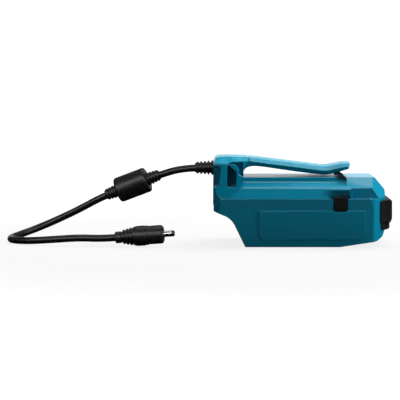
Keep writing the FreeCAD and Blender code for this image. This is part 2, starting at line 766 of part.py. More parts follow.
def side_edges(body, height_test):
    """Names of the long edges on the two flanks of the arm that pass a test on their height."""
    half = value_of(v.hook_arm_half)
    names = []
    for number, edge in enumerate(body.Shape.Edges, start=1):
        box = edge.BoundBox
        on_flank = box.YLength < 0.01 and abs(abs(box.YMin) - half) < 0.01
        if on_flank and box.XLength > 2 and height_test(edge.CenterOfMass):
            names.append(f"Edge{number}")
    return names


def build_hook_arm():
    """The springy arm: it falls gently towards the top face, then turns up at the tip."""
    body = new_body("hook_arm")
    start = split + v.flex_gap
    root_top = v.hook_height - 0.2
    profile = [
        (start, root_top),
        (split + 5.2, root_top - 0.25, 20.0),
        (hook_dip_x, v.hook_dip, 16.0),
        (hook_tip_x - 5.1, v.hook_tip, 4.0),
        (hook_tip_x, v.hook_tip),
        (hook_tip_x - 1.5, v.hook_tip - 4.8),
        (hook_dip_x, v.hook_dip - v.hook_thick, 14.0),
        (split + 5.2, root_top - 0.25 - v.hook_thick, 16.0),
        (start, root_top - 7.0),
    ]
    pad(body, "blade", "XZ", -v.hook_arm_half, v.hook_arm_half, [profile])
    hollow = [
        (split + 8.0, v.top_height),
        (split + 8.0, root_top - 0.6 - v.hook_skin),
        (hook_dip_x, v.hook_dip - v.hook_skin, 14.0),
        (hook_tip_x - 6.0, v.hook_tip - 0.5 - v.hook_skin),
        (hook_tip_x - 6.0, v.top_height),
    ]
    inner = v.hook_flat_half - 3.0
    pocket(body, "hollow", "XZ", -inner, inner, [hollow])

    line = [(value_of(a[0]), value_of(a[1])) for a in profile]
    high_line, low_line = line[:5], sorted(line[5:])

    def above_middle(point):
        middle = (interpolate(high_line, point.x) + interpolate(low_line, point.x)) / 2
        return point.z > middle

    bevel_edges(body, "top_bevel", above_middle, v.hook_bevel)
    bevel_edges(body, "low_bevel", lambda point: not above_middle(point), v.hook_bevel - 0.3)
    return body


def bevel_edges(body, name, height_test, width):
    """Bevels the flank edges that pass a test on their height."""
    base = body.Tip
    names = side_edges(body, height_test)
    bevel = body.newObject("PartDesign::Chamfer", name)
    bevel.Base = (base, names)
    bind(bevel, "Size", width)
    doc.recompute()


def interpolate(points, x):
    """Straight-line height at x through points in rising order of x."""
    for (x0, z0), (x1, z1) in zip(points, points[1:]):
        if x <= x1 or (x1, z1) == points[-1]:
            return z0 + (z1 - z0) * (x - x0) / (x1 - x0)
    return points[-1][1]


hook_base = build_hook_base()
hook_arm = build_hook_arm()

# The catch: an inlaid wedge, upright towards the tower and sloped towards the hook's tip
wedge = [
    (catch_start, catch_seat),
    (catch_end, catch_seat),
    (catch_end, v.top_height),
    (catch_start + 2.5, v.top_height + v.catch_rise, 0.4),
    (catch_start + 0.2, v.top_height + v.catch_rise - 0.4),
    (catch_start, v.top_height),
]
near_catch = new_body("near_catch")
pad(near_catch, "wedge", "XZ", v.catch_inner_half, v.catch_half, [wedge])
far_catch = new_body("far_catch")
pad(far_catch, "wedge", "XZ", -v.catch_half, -v.catch_inner_half, [wedge])
grouped("hook_catch", [near_catch, far_catch])


# Button and switch

power_button = new_body("power_button")
button_low = v.button_height - v.button_tall / 2
button_high = v.button_height + v.button_tall / 2
button_left, button_right = button_x - v.button_wide / 2, button_x + v.button_wide / 2
face = rectangle(button_left, button_right, button_low, button_high, v.button_round)
pad(power_button, "cap", "XZ", -v.button_face, -v.button_back, [face])
flange = rectangle(button_left - 1.1, button_right + 1.1, button_low - 1.0, button_high + 1.0)
flange_back = v.button_back - v.button_flange
pad(power_button, "flange", "XZ", -v.button_back, -flange_back, [flange])
stem_end = flange_back - 0.4
stem = (button_x, v.button_height, v.plunger_radius + 0.6)
pad(power_button, "stem", "XZ", -flange_back, -stem_end, circles=[stem])

switch_front = stem_end - v.button_travel - 0.1
switch_back = switch_front - v.switch_depth
switch_plunger = new_body("switch_plunger")
plunger_spot = (button_x, v.button_height)
pad(switch_plunger, "pin", "XZ", -stem_end, -switch_front + 0.6, circles=[plunger_spot + (v.plunger_radius,)])

switch_body = new_body("switch_body")
half_switch = v.switch_size / 2
case = rectangle(
    button_x - half_switch,
    button_x + half_switch,
    v.button_height - half_switch,
    v.button_height + half_switch,
)
pad(switch_body, "case", "XZ", -switch_front, -switch_back, [case])
guide = plunger_spot + (v.plunger_radius + v.plunger_gap,)
pocket(switch_body, "guide", "XZ", -switch_front - 1, -switch_back, circles=[guide])

switch_board = new_body("switch_board")
card = rectangle(button_x - 9, button_x + 9, v.pack_height + v.wall, v.ridge_height - 1.3)
pad(switch_board, "card", "XZ", -switch_back, -switch_back + v.small_board, [card])


# Boards, contacts and components

def slots(x_low, x_high, pitch_list, thick):
    """Rectangles for blades that stand upright at given places across the holder."""
    return [rectangle(x_low, x_high, y - thick / 2, y + thick / 2) for y in pitch_list]


power_places = [-v.blade_y, v.blade_y]
signal_places = [-v.signal_pitch, Size("0", 0.0), v.signal_pitch]
slot_start, slot_end = tang_start - v.slot_gap, tang_end + v.slot_gap
power_slots = slots(slot_start, slot_end, power_places, v.blade_thick + 2 * v.slot_gap)
signal_slots = slots(slot_start, slot_end, signal_places, v.signal_thick + 2 * v.slot_gap)

main_board = new_body("main_board")
card = rectangle(left + 17.8, stop_wall + 2.6, -v.board_half, v.board_half)
pad(main_board, "card", "XY", v.board_height, board_top, [card])
pocket(main_board, "blade_slots", "XY", v.board_height - 1, board_top, power_slots + signal_slots)

terminal_block = new_body("terminal_block")
block_low = v.rail_high + 0.7
pad(terminal_block, "block", "XY", block_low, roof_top, [rectangle(block_start, block_end, -20, 20)])
block_flange = rectangle(block_start - 2, block_end + 1.2, -22, 22)
pad(terminal_block, "flange", "XY", roof_top, v.board_height - 0.2, [block_flange])
pocket(terminal_block, "blade_slots", "XY", block_low - 1, v.board_height + 1, power_slots + signal_slots)


def blade(name, y, thick, foot):
    """An upright contact: a tang through block and board, and a foot that the battery slides onto."""
    body = new_body(name)
    outline = [
        (tang_start - foot, v.rail_low),
        (tang_end, v.rail_low),
        (tang_end, board_top + 1.2),
        (tang_start, board_top + 1.2),
        (tang_start, block_low - 0.3),
        (tang_start - foot, block_low - 0.3),
    ]
    pad(body, "blade", "XZ", y - thick / 2, y + thick / 2, [outline])
    return body


power = [blade(f"power_blade_{i}", y, v.blade_thick, 12) for i, y in enumerate(power_places)]
power_blades = grouped("power_blades", power)
signal = [blade(f"signal_blade_{i}", y, v.signal_thick, 9) for i, y in enumerate(signal_places)]
signal_blades = grouped("signal_blades", signal)

# The wound choke of the converter, with its square case
power_inductor = new_body("power_inductor")
coil_x = left + 32.2
pad(power_inductor, "case", "XY", board_top, board_top + 6, [rectangle(coil_x - 6, coil_x + 6, -16, -4, 2.0)])
pad(power_inductor, "lid", "XY", board_top + 6, board_top + 6.8, circles=[(coil_x, -10, 4.6)])


def can(name, x, y):
    """A can capacitor with its crimped base and stepped top."""
    body = new_body(name)
    pad(body, "base", "XY", board_top, board_top + 0.8, [rectangle(x - 4.1, x + 4.1, y - 4.1, y + 4.1, 1.0)])
    pad(body, "can", "XY", board_top + 0.8, board_top + 6.6, circles=[(x, y, 3.9)])
    pad(body, "top", "XY", board_top + 6.6, board_top + 7.0, circles=[(x, y, 3.5)])
    return body


can_places = [(coil_x, 6), (coil_x + 24.3, -14), (coil_x + 24.3, 14)]
capacitors = grouped("capacitors", [can(f"can_{i}", *place) for i, place in enumerate(can_places)])


def chip(name, x, y, long, wide, tall):
    """A chip: a low block with a row of leads down each long side."""
    body = new_body(name)
    case = rectangle(x - long / 2, x + long / 2, y - wide / 2, y + wide / 2)
    pad(body, "case", "XY", board_top + 0.1, board_top + tall, [case])
    count = int(long / 1.27)
    legs = []
    for i in range(count):
        leg_x = x + (i - (count - 1) / 2) * 1.27
        legs.append(rectangle(leg_x - 0.2, leg_x + 0.2, y - wide / 2 - 1.0, y + wide / 2 + 1.0))
    pad(body, "legs", "XY", board_top, board_top + 0.5, legs)
    return body


control_chips = grouped("control_chips", [
    chip("converter_chip", coil_x + 22.8, 0, 7.6, 4.0, 1.6),
    chip("meter_chip", coil_x, 16, 5.1, 4.0, 1.6),
])

heat_sink = new_body("heat_sink")
sink_x = coil_x + 29.8
pad(heat_sink, "foot", "XY", board_top, board_top + 1.5, [rectangle(sink_x, sink_x + 9, -12, -6)])
fins = [rectangle(sink_x + i * 2.0, sink_x + i * 2.0 + 1.0, -12, -6) for i in range(5)]
pad(heat_sink, "fins", "XY", board_top + 1.4, board_top + 6.0, fins)


# Outlet at the closed end

usb_board = new_body("usb_board")
card = rectangle(stop_wall + 0.3, inner_end - 0.5, -12, 12)
pad(usb_board, "card", "XY", v.usb_floor - v.board_thick, v.usb_floor, [card])

usb_shell = new_body("usb_shell")
usb_front = right - 0.2
usb_back = usb_front - v.usb_long
usb_top = v.usb_floor + v.usb_tall
shell_section = rectangle(-v.usb_half, v.usb_half, v.usb_floor, usb_top, 0.6)
pad(usb_shell, "tube", "YZ", usb_back, usb_front, [shell_section])
usb_inner = v.usb_half - v.usb_skin
hollow = rectangle(-usb_inner, usb_inner, v.usb_floor + v.usb_skin, usb_top - v.usb_skin)
pocket(usb_shell, "hollow", "YZ", usb_back - 1, usb_front + 1, [hollow])

usb_tongue = new_body("usb_tongue")
pad(usb_tongue, "block", "YZ", usb_back + 0.2, usb_back + 2.6, [hollow])
tongue = rectangle(-5.5, 5.5, usb_top - 2.6, usb_top - 0.9)
pad(usb_tongue, "tongue", "YZ", usb_back + 2.5, usb_front - 2.0, [tongue])


def pin(name, y):
    body = new_body(name)
    spot = (stop_wall + 1.4, y, 0.4)
    pad(body, "pin", "XY", v.usb_floor, v.board_height, circles=[spot])
    return body


link_pins = grouped("link_pins", [pin(f"link_pin_{i}", -3.81 + i * 2.54) for i in range(4)])


# Outlet cover and its strap: one rubber piece in use, parted at the line where it bends

corner_slope = v.end_corner_run / (v.end_corner_half - v.end_flat_half)


def wrap_end(body, half, gap, outer):
    """Fits a piece to the closed end and its slanted corners, and slants its own outer corners."""
    low, high = v.strap_low - 1, v.cover_high + 1
    back = right + gap - (half + 1 - v.end_flat_half) * corner_slope
    seat = [
        (right + gap, -v.end_flat_half),
        (right + gap, v.end_flat_half),
        (back, half + 1),
        (back - 3, half + 1),
        (back - 3, -half - 1),
        (back, -half - 1),
    ]
    pocket(body, "seat", "XY", low, high, [seat])
    for side in (-1, 1):
        corner = [
            (back + 3.6, side * (half + 0.1)),
            (outer - 1.6, side * (half - 6.4), 6.0),
            (outer, side * v.cover_front_half),
            (outer + 1, side * v.cover_front_half),
            (outer + 1, side * (half + 1)),
            (back + 3.6, side * (half + 1)),
        ]
        pocket(body, f"corner_{side}", "XY", low, high, [corner])


port_cover = new_body("port_cover")
cover_start = right + v.flex_gap
cover_out = right + v.cover_reach
flap_start = cover_start - (v.cover_half - v.end_flat_half) * corner_slope + 0.4
flap = [
    (flap_start, v.cover_low),
    (hinge_x, v.cover_low),
    (cover_out, v.cover_low + 1.7),
    (cover_out, v.cover_high, 2.2),
    (flap_start, v.cover_high, 2.0),
]
pad(port_cover, "flap", "XZ", -v.cover_half, v.cover_half, [flap])
wrap_end(port_cover, v.cover_half, v.flex_gap, cover_out)
lip_low, lip_high = v.usb_floor + 1.6, v.usb_floor + 4.6
pad(port_cover, "lip", "YZ", cover_start - 1.3, cover_start + 0.5, [rectangle(-5.4, 5.4, lip_low, lip_high)])

cover_strap = new_body("cover_strap")
strap_high = v.cover_low - v.flex_gap
strap_gap = 0.05
strap_start = right + strap_gap - (v.strap_half - v.end_flat_half) * corner_slope + 0.4
strap = [
    (strap_start, v.strap_low, 1.5),
    (hinge_x - 0.6, v.strap_low),
    (hinge_x, v.strap_low + 0.8),
    (hinge_x, strap_high),
    (strap_start, strap_high),
]
pad(cover_strap, "strap", "XZ", -v.strap_half, v.strap_half, [strap])
wrap_end(cover_strap, v.strap_half, strap_gap, hinge_x)
pad(cover_strap, "root", "YZ", inner_end - 0.1, right + 0.2, [rectangle(-5.0, 5.0, 11.9, 14.2)])
pad(cover_strap, "flange", "YZ", inner_end - 1.6, inner_end, [rectangle(-6.4, 6.4, 10.9, 15.2)])


# Screws

def screw(label, length, radius, head_radius, head_height):
    """A pan-head screw along +X, with its head at negative X and a cross recess."""
    pointed = [
        (-head_height, 0),
        (length, 0),
        (length, radius * 0.5),
        (length - 1.2, radius),
        (0, radius),
        (0, head_radius),
        (-head_height + 0.5, head_radius),
        (-head_height, head_radius - 0.6),
    ]
    body = turned(label, pointed)
    slot_half = head_radius * 0.62
    cross = [
        rectangle(-slot_half, slot_half, -0.3, 0.3),
    ]
    pocket(body, "slot", "YZ", -head_height - 1, -head_height + 0.9, cross)
    return body


def set_screws(label, spots, direction, lengths):
    """Equal screws, each with its seat at a spot and its shank along a direction."""
    made = []
    for number, spot in enumerate(spots):
        body = screw(f"{label}_{number}", *lengths)
        place_along(body, spot, direction)
        made.append(body)
    return grouped(label, made)


shell_spots = [Vector(value_of(x), value_of(v.screw_seat), value_of(z)) for x, z, _ in screw_spots]
shell_screws = set_screws(
    "shell_screws", shell_spots, Vector(0, -1, 0),
    (v.screw_length, v.screw_radius, v.screw_head_radius, v.screw_head_height),
)
hook_seat = value_of(v.hook_height) - 1.4
hook_spots = [Vector(value_of(hook_screw_x), side * value_of(v.hook_screw_y), hook_seat) for side in (-1, 1)]
hook_screws = set_screws(
    "hook_screws", hook_spots, Vector(0, 0, -1),
    (v.hook_screw_length, v.hook_screw_radius, v.hook_screw_radius + 1.1, 1.3),
)


# Strain relief, lead, choke and plug

def ribs(start, end, body_radii, rib_radii, count):
    """Corners of a row of square ribs along a tapering stem, from start to end."""
    step = (end - start) / count
    corners = []
    for i in range(count):
        share = i / max(count - 1, 1)
        stem = body_radii[0] + (body_radii[1] - body_radii[0]) * share
        rib = rib_radii[0] + (rib_radii[1] - rib_radii[0]) * share
        at = start + step * i
        corners += [(at, rib), (at + step * 0.55, rib), (at + step * 0.55, stem), (at + step * 0.999, stem)]
    return corners


boot_end = 12.4
flange_start = v.wall + 0.05
boot_profile = [(-flange_start - 1.9, v.cord_radius), (-flange_start - 1.9, v.boot_hole_radius + 0.6)]
boot_profile += [(-flange_start, v.boot_hole_radius + 0.6), (-flange_start, v.boot_hole_radius - 0.05)]
boot_profile += [(0.05, v.boot_hole_radius - 0.05)]
boot_tail = v.cord_radius + 0.9
boot_profile += ribs(0.05, boot_end, (3.7, boot_tail), (4.9, boot_tail + 0.8), 5)
boot_profile += [(boot_end, boot_tail), (boot_end, v.cord_radius)]
cord_boot = turned("cord_boot", boot_profile)
place_along(cord_boot, Vector(value_of(left), 0, value_of(v.lead_height)), Vector(-1, 0, 0))

# The lead's route, chosen by hand along the photograph: out of the boot, down through the choke to
# the table, round a wide turn and back to the plug
cord_route = [
    Vector(-61.0, 0.0, 50.6),
    Vector(-78.5, 0.0, 50.6),
    Vector(-95.5, 3.2, 45.9),
    Vector(-133.5, 9.6, 31.2),
    Vector(-151.8, 15.6, 21.0),
    Vector(-168.4, 21.2, 12.9),
    Vector(-182.5, 21.2, 7.0),
    Vector(-193.6, 12.9, 3.5),
    Vector(-198.0, 0.0, 2.5),
    Vector(-193.8, -14.4, 2.55),
    Vector(-182.1, -23.2, 2.9),
    Vector(-166.1, -27.7, 4.2),
    Vector(-149.5, -29.6, 5.5),
    Vector(-134.1, -31.08, 5.06),
    Vector(-124.9, -32.2, 5.83),
]


def rounded_path(points):
    """A wire of straight runs joined by tangent arcs, and the list of the arcs' radii."""
    edges, radii = [], []
    at = points[0]
    for before, corner, after in zip(points, points[1:], points[2:]):
        into, out = corner - before, after - corner
        turn = into.getAngle(out)
        radius = 0.45 * min(into.Length, out.Length) / math.tan(turn / 2)
        trim = radius * math.tan(turn / 2)
        start = corner - Vector(into).normalize() * trim
        end = corner + Vector(out).normalize() * trim
        inward = (Vector(out).normalize() - Vector(into).normalize()).normalize()
        middle = corner + inward * (radius / math.cos(turn / 2) - radius)
        edges.append(Part.LineSegment(at, start).toShape())
        edges.append(Part.Arc(start, middle, end).toShape())
        radii.append(radius)
        at = end
    edges.append(Part.LineSegment(at, points[-1]).toShape())
    return Part.Wire(edges), radii


def tube(label, points, radius):
    """A round tube along a route of runs and arcs."""
    path, radii = rounded_path(points)
    ring = Part.Wire(Part.Circle(points[0], points[1] - points[0], radius).toShape())
    shell = path.makePipeShell([ring], True, False)
    item = doc.addObject("Part::Feature", label)
    item.Shape = shell
    expected = math.pi * radius ** 2 * path.Length
    if abs(item.Shape.Volume - expected) > 0.01 * expected:
        raise RuntimeError(f"{label}: volume {item.Shape.Volume:.1f}, expected {expected:.1f}")
    print(f"{label}: length {path.Length:.1f} mm, radii", " ".join(f"{r:.1f}" for r in radii))
    return keep(item, label)


cord = tube("cord", cord_route, value_of(v.cord_radius))

choke_from, choke_to = cord_route[2], cord_route[3]
choke_direction = (choke_to - choke_from).normalize()
choke_centre = (choke_from + choke_to) / 2
choke_start = choke_centre - choke_direction * (value_of(v.choke_length) / 2)
half_core = v.core_length / 2
half_choke = v.choke_length / 2

case_profile = [
    (0, v.cord_radius + 0.6),
    (0, v.choke_radius, 1.6),
    (v.choke_length, v.choke_radius, 1.6),
    (v.choke_length, v.cord_radius + 0.6),
    (half_choke + half_core, v.cord_radius + 0.6),
    (half_choke + half_core, v.core_radius),
    (half_choke - half_core, v.core_radius),
    (half_choke - half_core, v.cord_radius + 0.6),
]
choke_case = turned("choke_case", case_profile)
place_along(choke_case, choke_start, choke_direction)

core_profile = [
    (half_choke - half_core, v.cord_radius),
    (half_choke - half_core, v.core_radius),
    (half_choke + half_core, v.core_radius),
    (half_choke + half_core, v.cord_radius),
]
choke_core = turned("choke_core", core_profile)
place_along(choke_core, choke_start, choke_direction)

boots = []
for name, face, outward in (("upper", 0.0, -1), ("lower", value_of(v.choke_length), 1)):
    bore = v.cord_radius + 0.3
    profile = [(-2.0, bore), (-2.0, v.cord_radius + 0.6), (0.0, v.cord_radius + 0.6)]
    profile += ribs(0.0, v.choke_boot_length, (boot_tail + 0.3, boot_tail), (4.5, boot_tail + 0.6), 4)
    profile += [(v.choke_boot_length, boot_tail), (v.choke_boot_length, bore)]
    boot = turned(f"choke_boot_{name}", profile)
    place_along(boot, choke_start + choke_direction * face, choke_direction * outward)
    boots.append(boot)
choke_boots = grouped("choke_boots", boots)

plug_start = cord_route[-1]
lip = 0.1
plug_direction = (cord_route[-1] - cord_route[-2]).normalize()
ring = v.plug_ring_radius
plug_profile = [
    (0, 1.0),
    (0, 3.9, 0.8),
    (4.2, 3.9),
    (4.2, 3.4),
    (5.2, 3.4),
    (5.2, 4.7),
    (6.5, 4.9),
    (6.5, 4.1),
    (7.5, 4.1),
    (7.5, 5.2),
    (8.9, 5.4),
    (8.9, 4.6),
    (9.9, 4.6),
    (9.9, 5.7),
    (11.3, 5.9),
    (11.3, 5.1),
    (12.3, 5.1),
    (12.3, 6.1),
    (15.0, ring, 1.0),
    (20.0, ring),
    (20.4, ring - 0.4),
    (21.0, ring - 0.4),
    (21.0, ring - 0.1),
    (21.8, ring - 0.1),
    (21.8, ring - 0.6),
    (22.6, ring - 0.5),
    (v.plug_length, ring - 0.5, 2.0),
    (v.plug_length, v.barrel_radius),
    (v.plug_length - lip, v.barrel_radius),
    (v.plug_length - lip, v.barrel_radius + 0.6),
    (v.plug_length - 10, v.barrel_radius + 0.6),
    (v.plug_length - 10, 1.0),
]
plug_body = turned("plug_body", plug_profile)
place_along(plug_body, plug_start, plug_direction)

tip_length = 1.7
barrel_end = v.plug_length + v.barrel_length - tip_length
plug_barrel = turned("plug_barrel", [
    (v.plug_length - 10, v.barrel_bore + 0.45),
    (v.plug_length - 10, v.barrel_radius + 0.6),
    (v.plug_length - lip, v.barrel_radius + 0.6),
    (v.plug_length - lip, v.barrel_radius),
    (barrel_end, v.barrel_radius),
    (barrel_end, v.barrel_bore + 0.45),
])
place_along(plug_barrel, plug_start, plug_direction)

plug_tip = turned("plug_tip", [
    (v.plug_length - 9, v.barrel_bore + 0.2),
    (v.plug_length - 9, v.barrel_bore + 0.45),
    (barrel_end, v.barrel_bore + 0.45),
    (barrel_end, v.barrel_radius),
    (barrel_end + tip_length, v.barrel_radius, 0.7),
    (barrel_end + tip_length, v.barrel_bore),
    (barrel_end - 0.3, v.barrel_bore),
    (barrel_end - 0.3, v.barrel_bore + 0.2),
])
place_along(plug_tip, plug_start, plug_direction)

plug_contact = turned("plug_contact", [
    (v.plug_length - 9.5, v.barrel_bore),
    (v.plug_length - 9.5, v.barrel_bore + 0.2),
    (barrel_end - 0.3, v.barrel_bore + 0.2),
    (barrel_end - 0.3, v.barrel_bore),
])
place_along(plug_contact, plug_start, plug_direction)

# The two wires from the board up through the tower to the lead's end
wires = []
for number, side in enumerate((-1, 1)):
    route = [
        Vector(value_of(left) + 19.4, side * 3.4, value_of(board_top)),
        Vector(value_of(left) + 19.2, side * 3.4, 39.0),
        Vector(value_of(left) + 14.5, side * 3.0, 43.8),
        Vector(value_of(left) + 10.0, side * 1.0, 50.6),
        Vector(cord_route[0].x, side * 0.95, cord_route[0].z),
    ]
    wires.append(tube(f"lead_wire_{number}", route, 0.8))
lead_wires = grouped("lead_wires", wires)


# Check every object and write one file for each piece

doc.recompute()
for item in doc.Objects:
    if "Invalid" in item.State or "Error" in item.State:
        raise RuntimeError(f"{item.Label}: {item.State}")
for node in NODES:
    if node.Shape.isNull() or not node.Shape.isValid():
        raise RuntimeError(f"{node.Label}: bad shape")
    if node.TypeId == "PartDesign::Body" and len(node.Shape.Solids) != 1:
        raise RuntimeError(f"{node.Label}: {len(node.Shape.Solids)} solids")

os.makedirs("parts", exist_ok=True)
for node in NODES:
    node.Shape.exportStep(f"parts/{node.Label}.step")
    box = node.Shape.BoundBox
    print(f"{node.Label}: {len(node.Shape.Solids)} solid(s), {node.Shape.Volume:.1f} mm3,"
          f" x {box.XMin:.2f} {box.XMax:.2f} y {box.YMin:.2f} {box.YMax:.2f} z {box.ZMin:.2f} {box.ZMax:.2f}")
print(f"{len(NODES)} nodes")
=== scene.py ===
# Battery holder with a belt hook and a lead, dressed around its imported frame.
# Metres, +Z up, +X to the closed end with the outlet cover, -Y to the side with the button.
import json
import math

import bmesh
import bpy
import numpy as np
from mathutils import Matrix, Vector

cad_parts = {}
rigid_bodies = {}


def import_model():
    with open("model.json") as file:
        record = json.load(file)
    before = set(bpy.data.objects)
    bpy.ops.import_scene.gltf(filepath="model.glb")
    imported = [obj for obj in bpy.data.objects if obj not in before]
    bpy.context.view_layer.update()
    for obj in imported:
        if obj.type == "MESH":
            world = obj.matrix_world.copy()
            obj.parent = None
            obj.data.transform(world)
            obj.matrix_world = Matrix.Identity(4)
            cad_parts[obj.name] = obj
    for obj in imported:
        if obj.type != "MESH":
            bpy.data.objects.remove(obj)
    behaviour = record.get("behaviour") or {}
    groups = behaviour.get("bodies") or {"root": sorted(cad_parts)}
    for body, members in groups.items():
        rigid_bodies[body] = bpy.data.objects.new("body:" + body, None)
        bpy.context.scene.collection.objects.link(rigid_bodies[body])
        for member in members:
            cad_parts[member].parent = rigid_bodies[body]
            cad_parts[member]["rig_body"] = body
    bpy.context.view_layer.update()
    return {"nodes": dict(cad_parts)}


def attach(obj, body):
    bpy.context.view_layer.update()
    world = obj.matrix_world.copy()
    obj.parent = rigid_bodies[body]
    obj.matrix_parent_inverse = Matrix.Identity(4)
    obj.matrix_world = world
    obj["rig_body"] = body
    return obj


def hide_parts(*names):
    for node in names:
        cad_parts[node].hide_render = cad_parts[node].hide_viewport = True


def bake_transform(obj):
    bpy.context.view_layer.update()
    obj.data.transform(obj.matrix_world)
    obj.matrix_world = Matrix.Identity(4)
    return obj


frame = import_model()
nodes = frame["nodes"]
mm = 0.001
print("frame loaded:", len(nodes), "nodes")


# Helpers

# Puts a finished mesh in the scene as one piece. It rides on a body, unless body is None.
def addPiece(name, mesh, material, body, hides=()):
    piece = bpy.data.objects.new(name, mesh)
    bpy.context.scene.collection.objects.link(piece)
    mesh.materials.clear()
    mesh.materials.append(material)
    if body:
        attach(piece, body)
    if hides:
        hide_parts(*hides)
    return piece


# A mesh from a grid of points, shape (rows, columns, 3). closeU joins the last row to the first, closeV the
# last column to the first; the caps fill the first and the last row.
def gridMesh(name, points, closeU=False, closeV=False, capStart=False, capEnd=False):
    rows, columns, _ = points.shape
    index = np.arange(rows * columns).reshape(rows, columns)
    a = index if closeU else index[:-1]
    b = np.roll(index, -1, axis=0) if closeU else index[1:]
    a2 = np.roll(a, -1, axis=1) if closeV else a[:, 1:]
    b2 = np.roll(b, -1, axis=1) if closeV else b[:, 1:]
    if not closeV:
        a = a[:, :-1]
        b = b[:, :-1]
    quads = np.stack([a, a2, b2, b], axis=-1).reshape(-1, 4).tolist()
    if capStart:
        quads.append(index[0][::-1].tolist())
    if capEnd:
        quads.append(index[-1].tolist())
    mesh = bpy.data.meshes.new(name)
    mesh.from_pydata(points.reshape(-1, 3).tolist(), [], quads)
    return finishMesh(mesh)


# Merges doubles, turns every face outwards and smooths all but the sharp edges.
def finishMesh(mesh, smoothAngle=35):
    work = bmesh.new()
    work.from_mesh(mesh)
    bmesh.ops.remove_doubles(work, verts=work.verts, dist=1e-7)
    bmesh.ops.recalc_face_normals(work, faces=work.faces)
    work.to_mesh(mesh)
    work.free()
    mesh.shade_smooth()
    mesh.set_sharp_from_angle(angle=math.radians(smoothAngle))
    return mesh


# How far each sharp edge lies from the nearest one beside it, up to a most. Edges ahead of or behind it on
# the same line don't count: for a point m on it and the closest point c of another edge, with the edge's
# direction d, only |(c - m) . d| < 0.5 |c - m| does.
def edgeRoom(starts, ends, most):
    steps = ends - starts
    lengths = np.maximum(np.linalg.norm(steps, axis=1), 1e-9)
    directions = steps / lengths[:, None]
    room = np.full(len(starts), most)
    batch = 200
    for share in (0.08, 0.3, 0.5, 0.7, 0.92):
        points = starts + share * steps
        for first in range(0, len(starts), batch):
            rows = slice(first, first + batch)
            fromStart = points[rows, None] - starts[None]
            reach = np.clip((fromStart * directions[None]).sum(axis=2), 0, lengths[None])
            gaps = reach[..., None] * directions[None] - fromStart
            distances = np.linalg.norm(gaps, axis=2)
            along = np.abs((gaps * directions[rows, None]).sum(axis=2))
            counts = (distances > 0.00002) & (along < 0.5 * distances)
            room[rows] = np.minimum(room[rows], np.where(counts, distances, most).min(axis=1))
    return room


# How sharp edges are rounded. The share of the room beside an edge that its rounding takes, and the least part
# of the full width. The housing's edges stay almost sharp where its halves meet, and in a box round the top of
# the button's recess, where edges run into each other
edgeRounding = {
    "roomShare": 0.4,
    "leastPart": 0.04,
    "partingWidth": 0.03,
    "recessLow": (15.0, -41.0, 31.0),
    "recessHigh": (34.0, -30.0, 38.2),
    "recessPart": 0.05,
    "shortestEdge": 3e-6,
    "sharpFactor": 1.2,
}


# Rounds the sharp edges of a piece by a bevel of the given width, less where another edge lies close
# beside: part = clip(room * share / width, least, 1). The result is made triangles, without the needles.
def roundEdges(piece, width, segments=2, angle=24, housing=False):
    mesh = piece.data
    work = bmesh.new()
    work.from_mesh(mesh)
    limit = math.radians(angle)
    sharp = [edge for edge in work.edges if len(edge.link_faces) == 2 and edge.calc_face_angle(0) > limit]
    starts = np.array([edge.verts[0].co for edge in sharp])
    ends = np.array([edge.verts[1].co for edge in sharp])
    indices = [edge.index for edge in sharp]
    count = len(work.edges)
    work.free()
    weights = np.zeros(count)
    room = edgeRoom(starts, ends, width * 4)
    weights[indices] = np.clip(room * edgeRounding["roomShare"] / width, edgeRounding["leastPart"], 1)
    if housing:
        onLine = (np.abs(starts[:, 1]) < 0.02 * mm) & (np.abs(ends[:, 1]) < 0.02 * mm)
        weights[np.array(indices)[onLine]] = edgeRounding["partingWidth"] * mm / width
        boxLow = np.array(edgeRounding["recessLow"]) * mm
        boxHigh = np.array(edgeRounding["recessHigh"]) * mm
        middles = (starts + ends) / 2
        inBox = ((middles > boxLow) & (middles < boxHigh)).all(axis=1)
        weights[np.array(indices)[inBox]] = edgeRounding["recessPart"]
    attribute = mesh.attributes.new("bevel_weight_edge", "FLOAT", "EDGE")
    attribute.data.foreach_set("value", weights.astype(np.float32))
    bevel = piece.modifiers.new("roundedEdges", "BEVEL")
    bevel.width = width
    bevel.segments = segments
    bevel.limit_method = "WEIGHT"
    bevel.use_clamp_overlap = False
    bevel.miter_outer = "MITER_ARC"
    applyShape(piece)
    work = bmesh.new()
    work.from_mesh(piece.data)
    bmesh.ops.triangulate(work, faces=work.faces, quad_method="BEAUTY", ngon_method="BEAUTY")
    bmesh.ops.dissolve_degenerate(work, edges=work.edges, dist=edgeRounding["shortestEdge"])
    work.to_mesh(piece.data)
    work.free()
    piece.data.shade_smooth()
    piece.data.set_sharp_from_angle(angle=limit * edgeRounding["sharpFactor"])
    flattenFaces(piece)


# Turns what the modifiers make of a piece into its own mesh.
def applyShape(piece):
    result = bpy.data.meshes.new_from_object(piece.evaluated_get(bpy.context.evaluated_depsgraph_get()))
    old = piece.data
    result.name = old.name
    piece.modifiers.clear()
    piece.data = result
    bpy.data.meshes.remove(old)
    return result


# Keeps the shading of large faces flat beside their rounded edges.
def flattenFaces(piece):
    flatten = piece.modifiers.new("flatFaces", "WEIGHTED_NORMAL")
    flatten.mode = "FACE_AREA"
    flatten.weight = 70
    flatten.keep_sharp = True


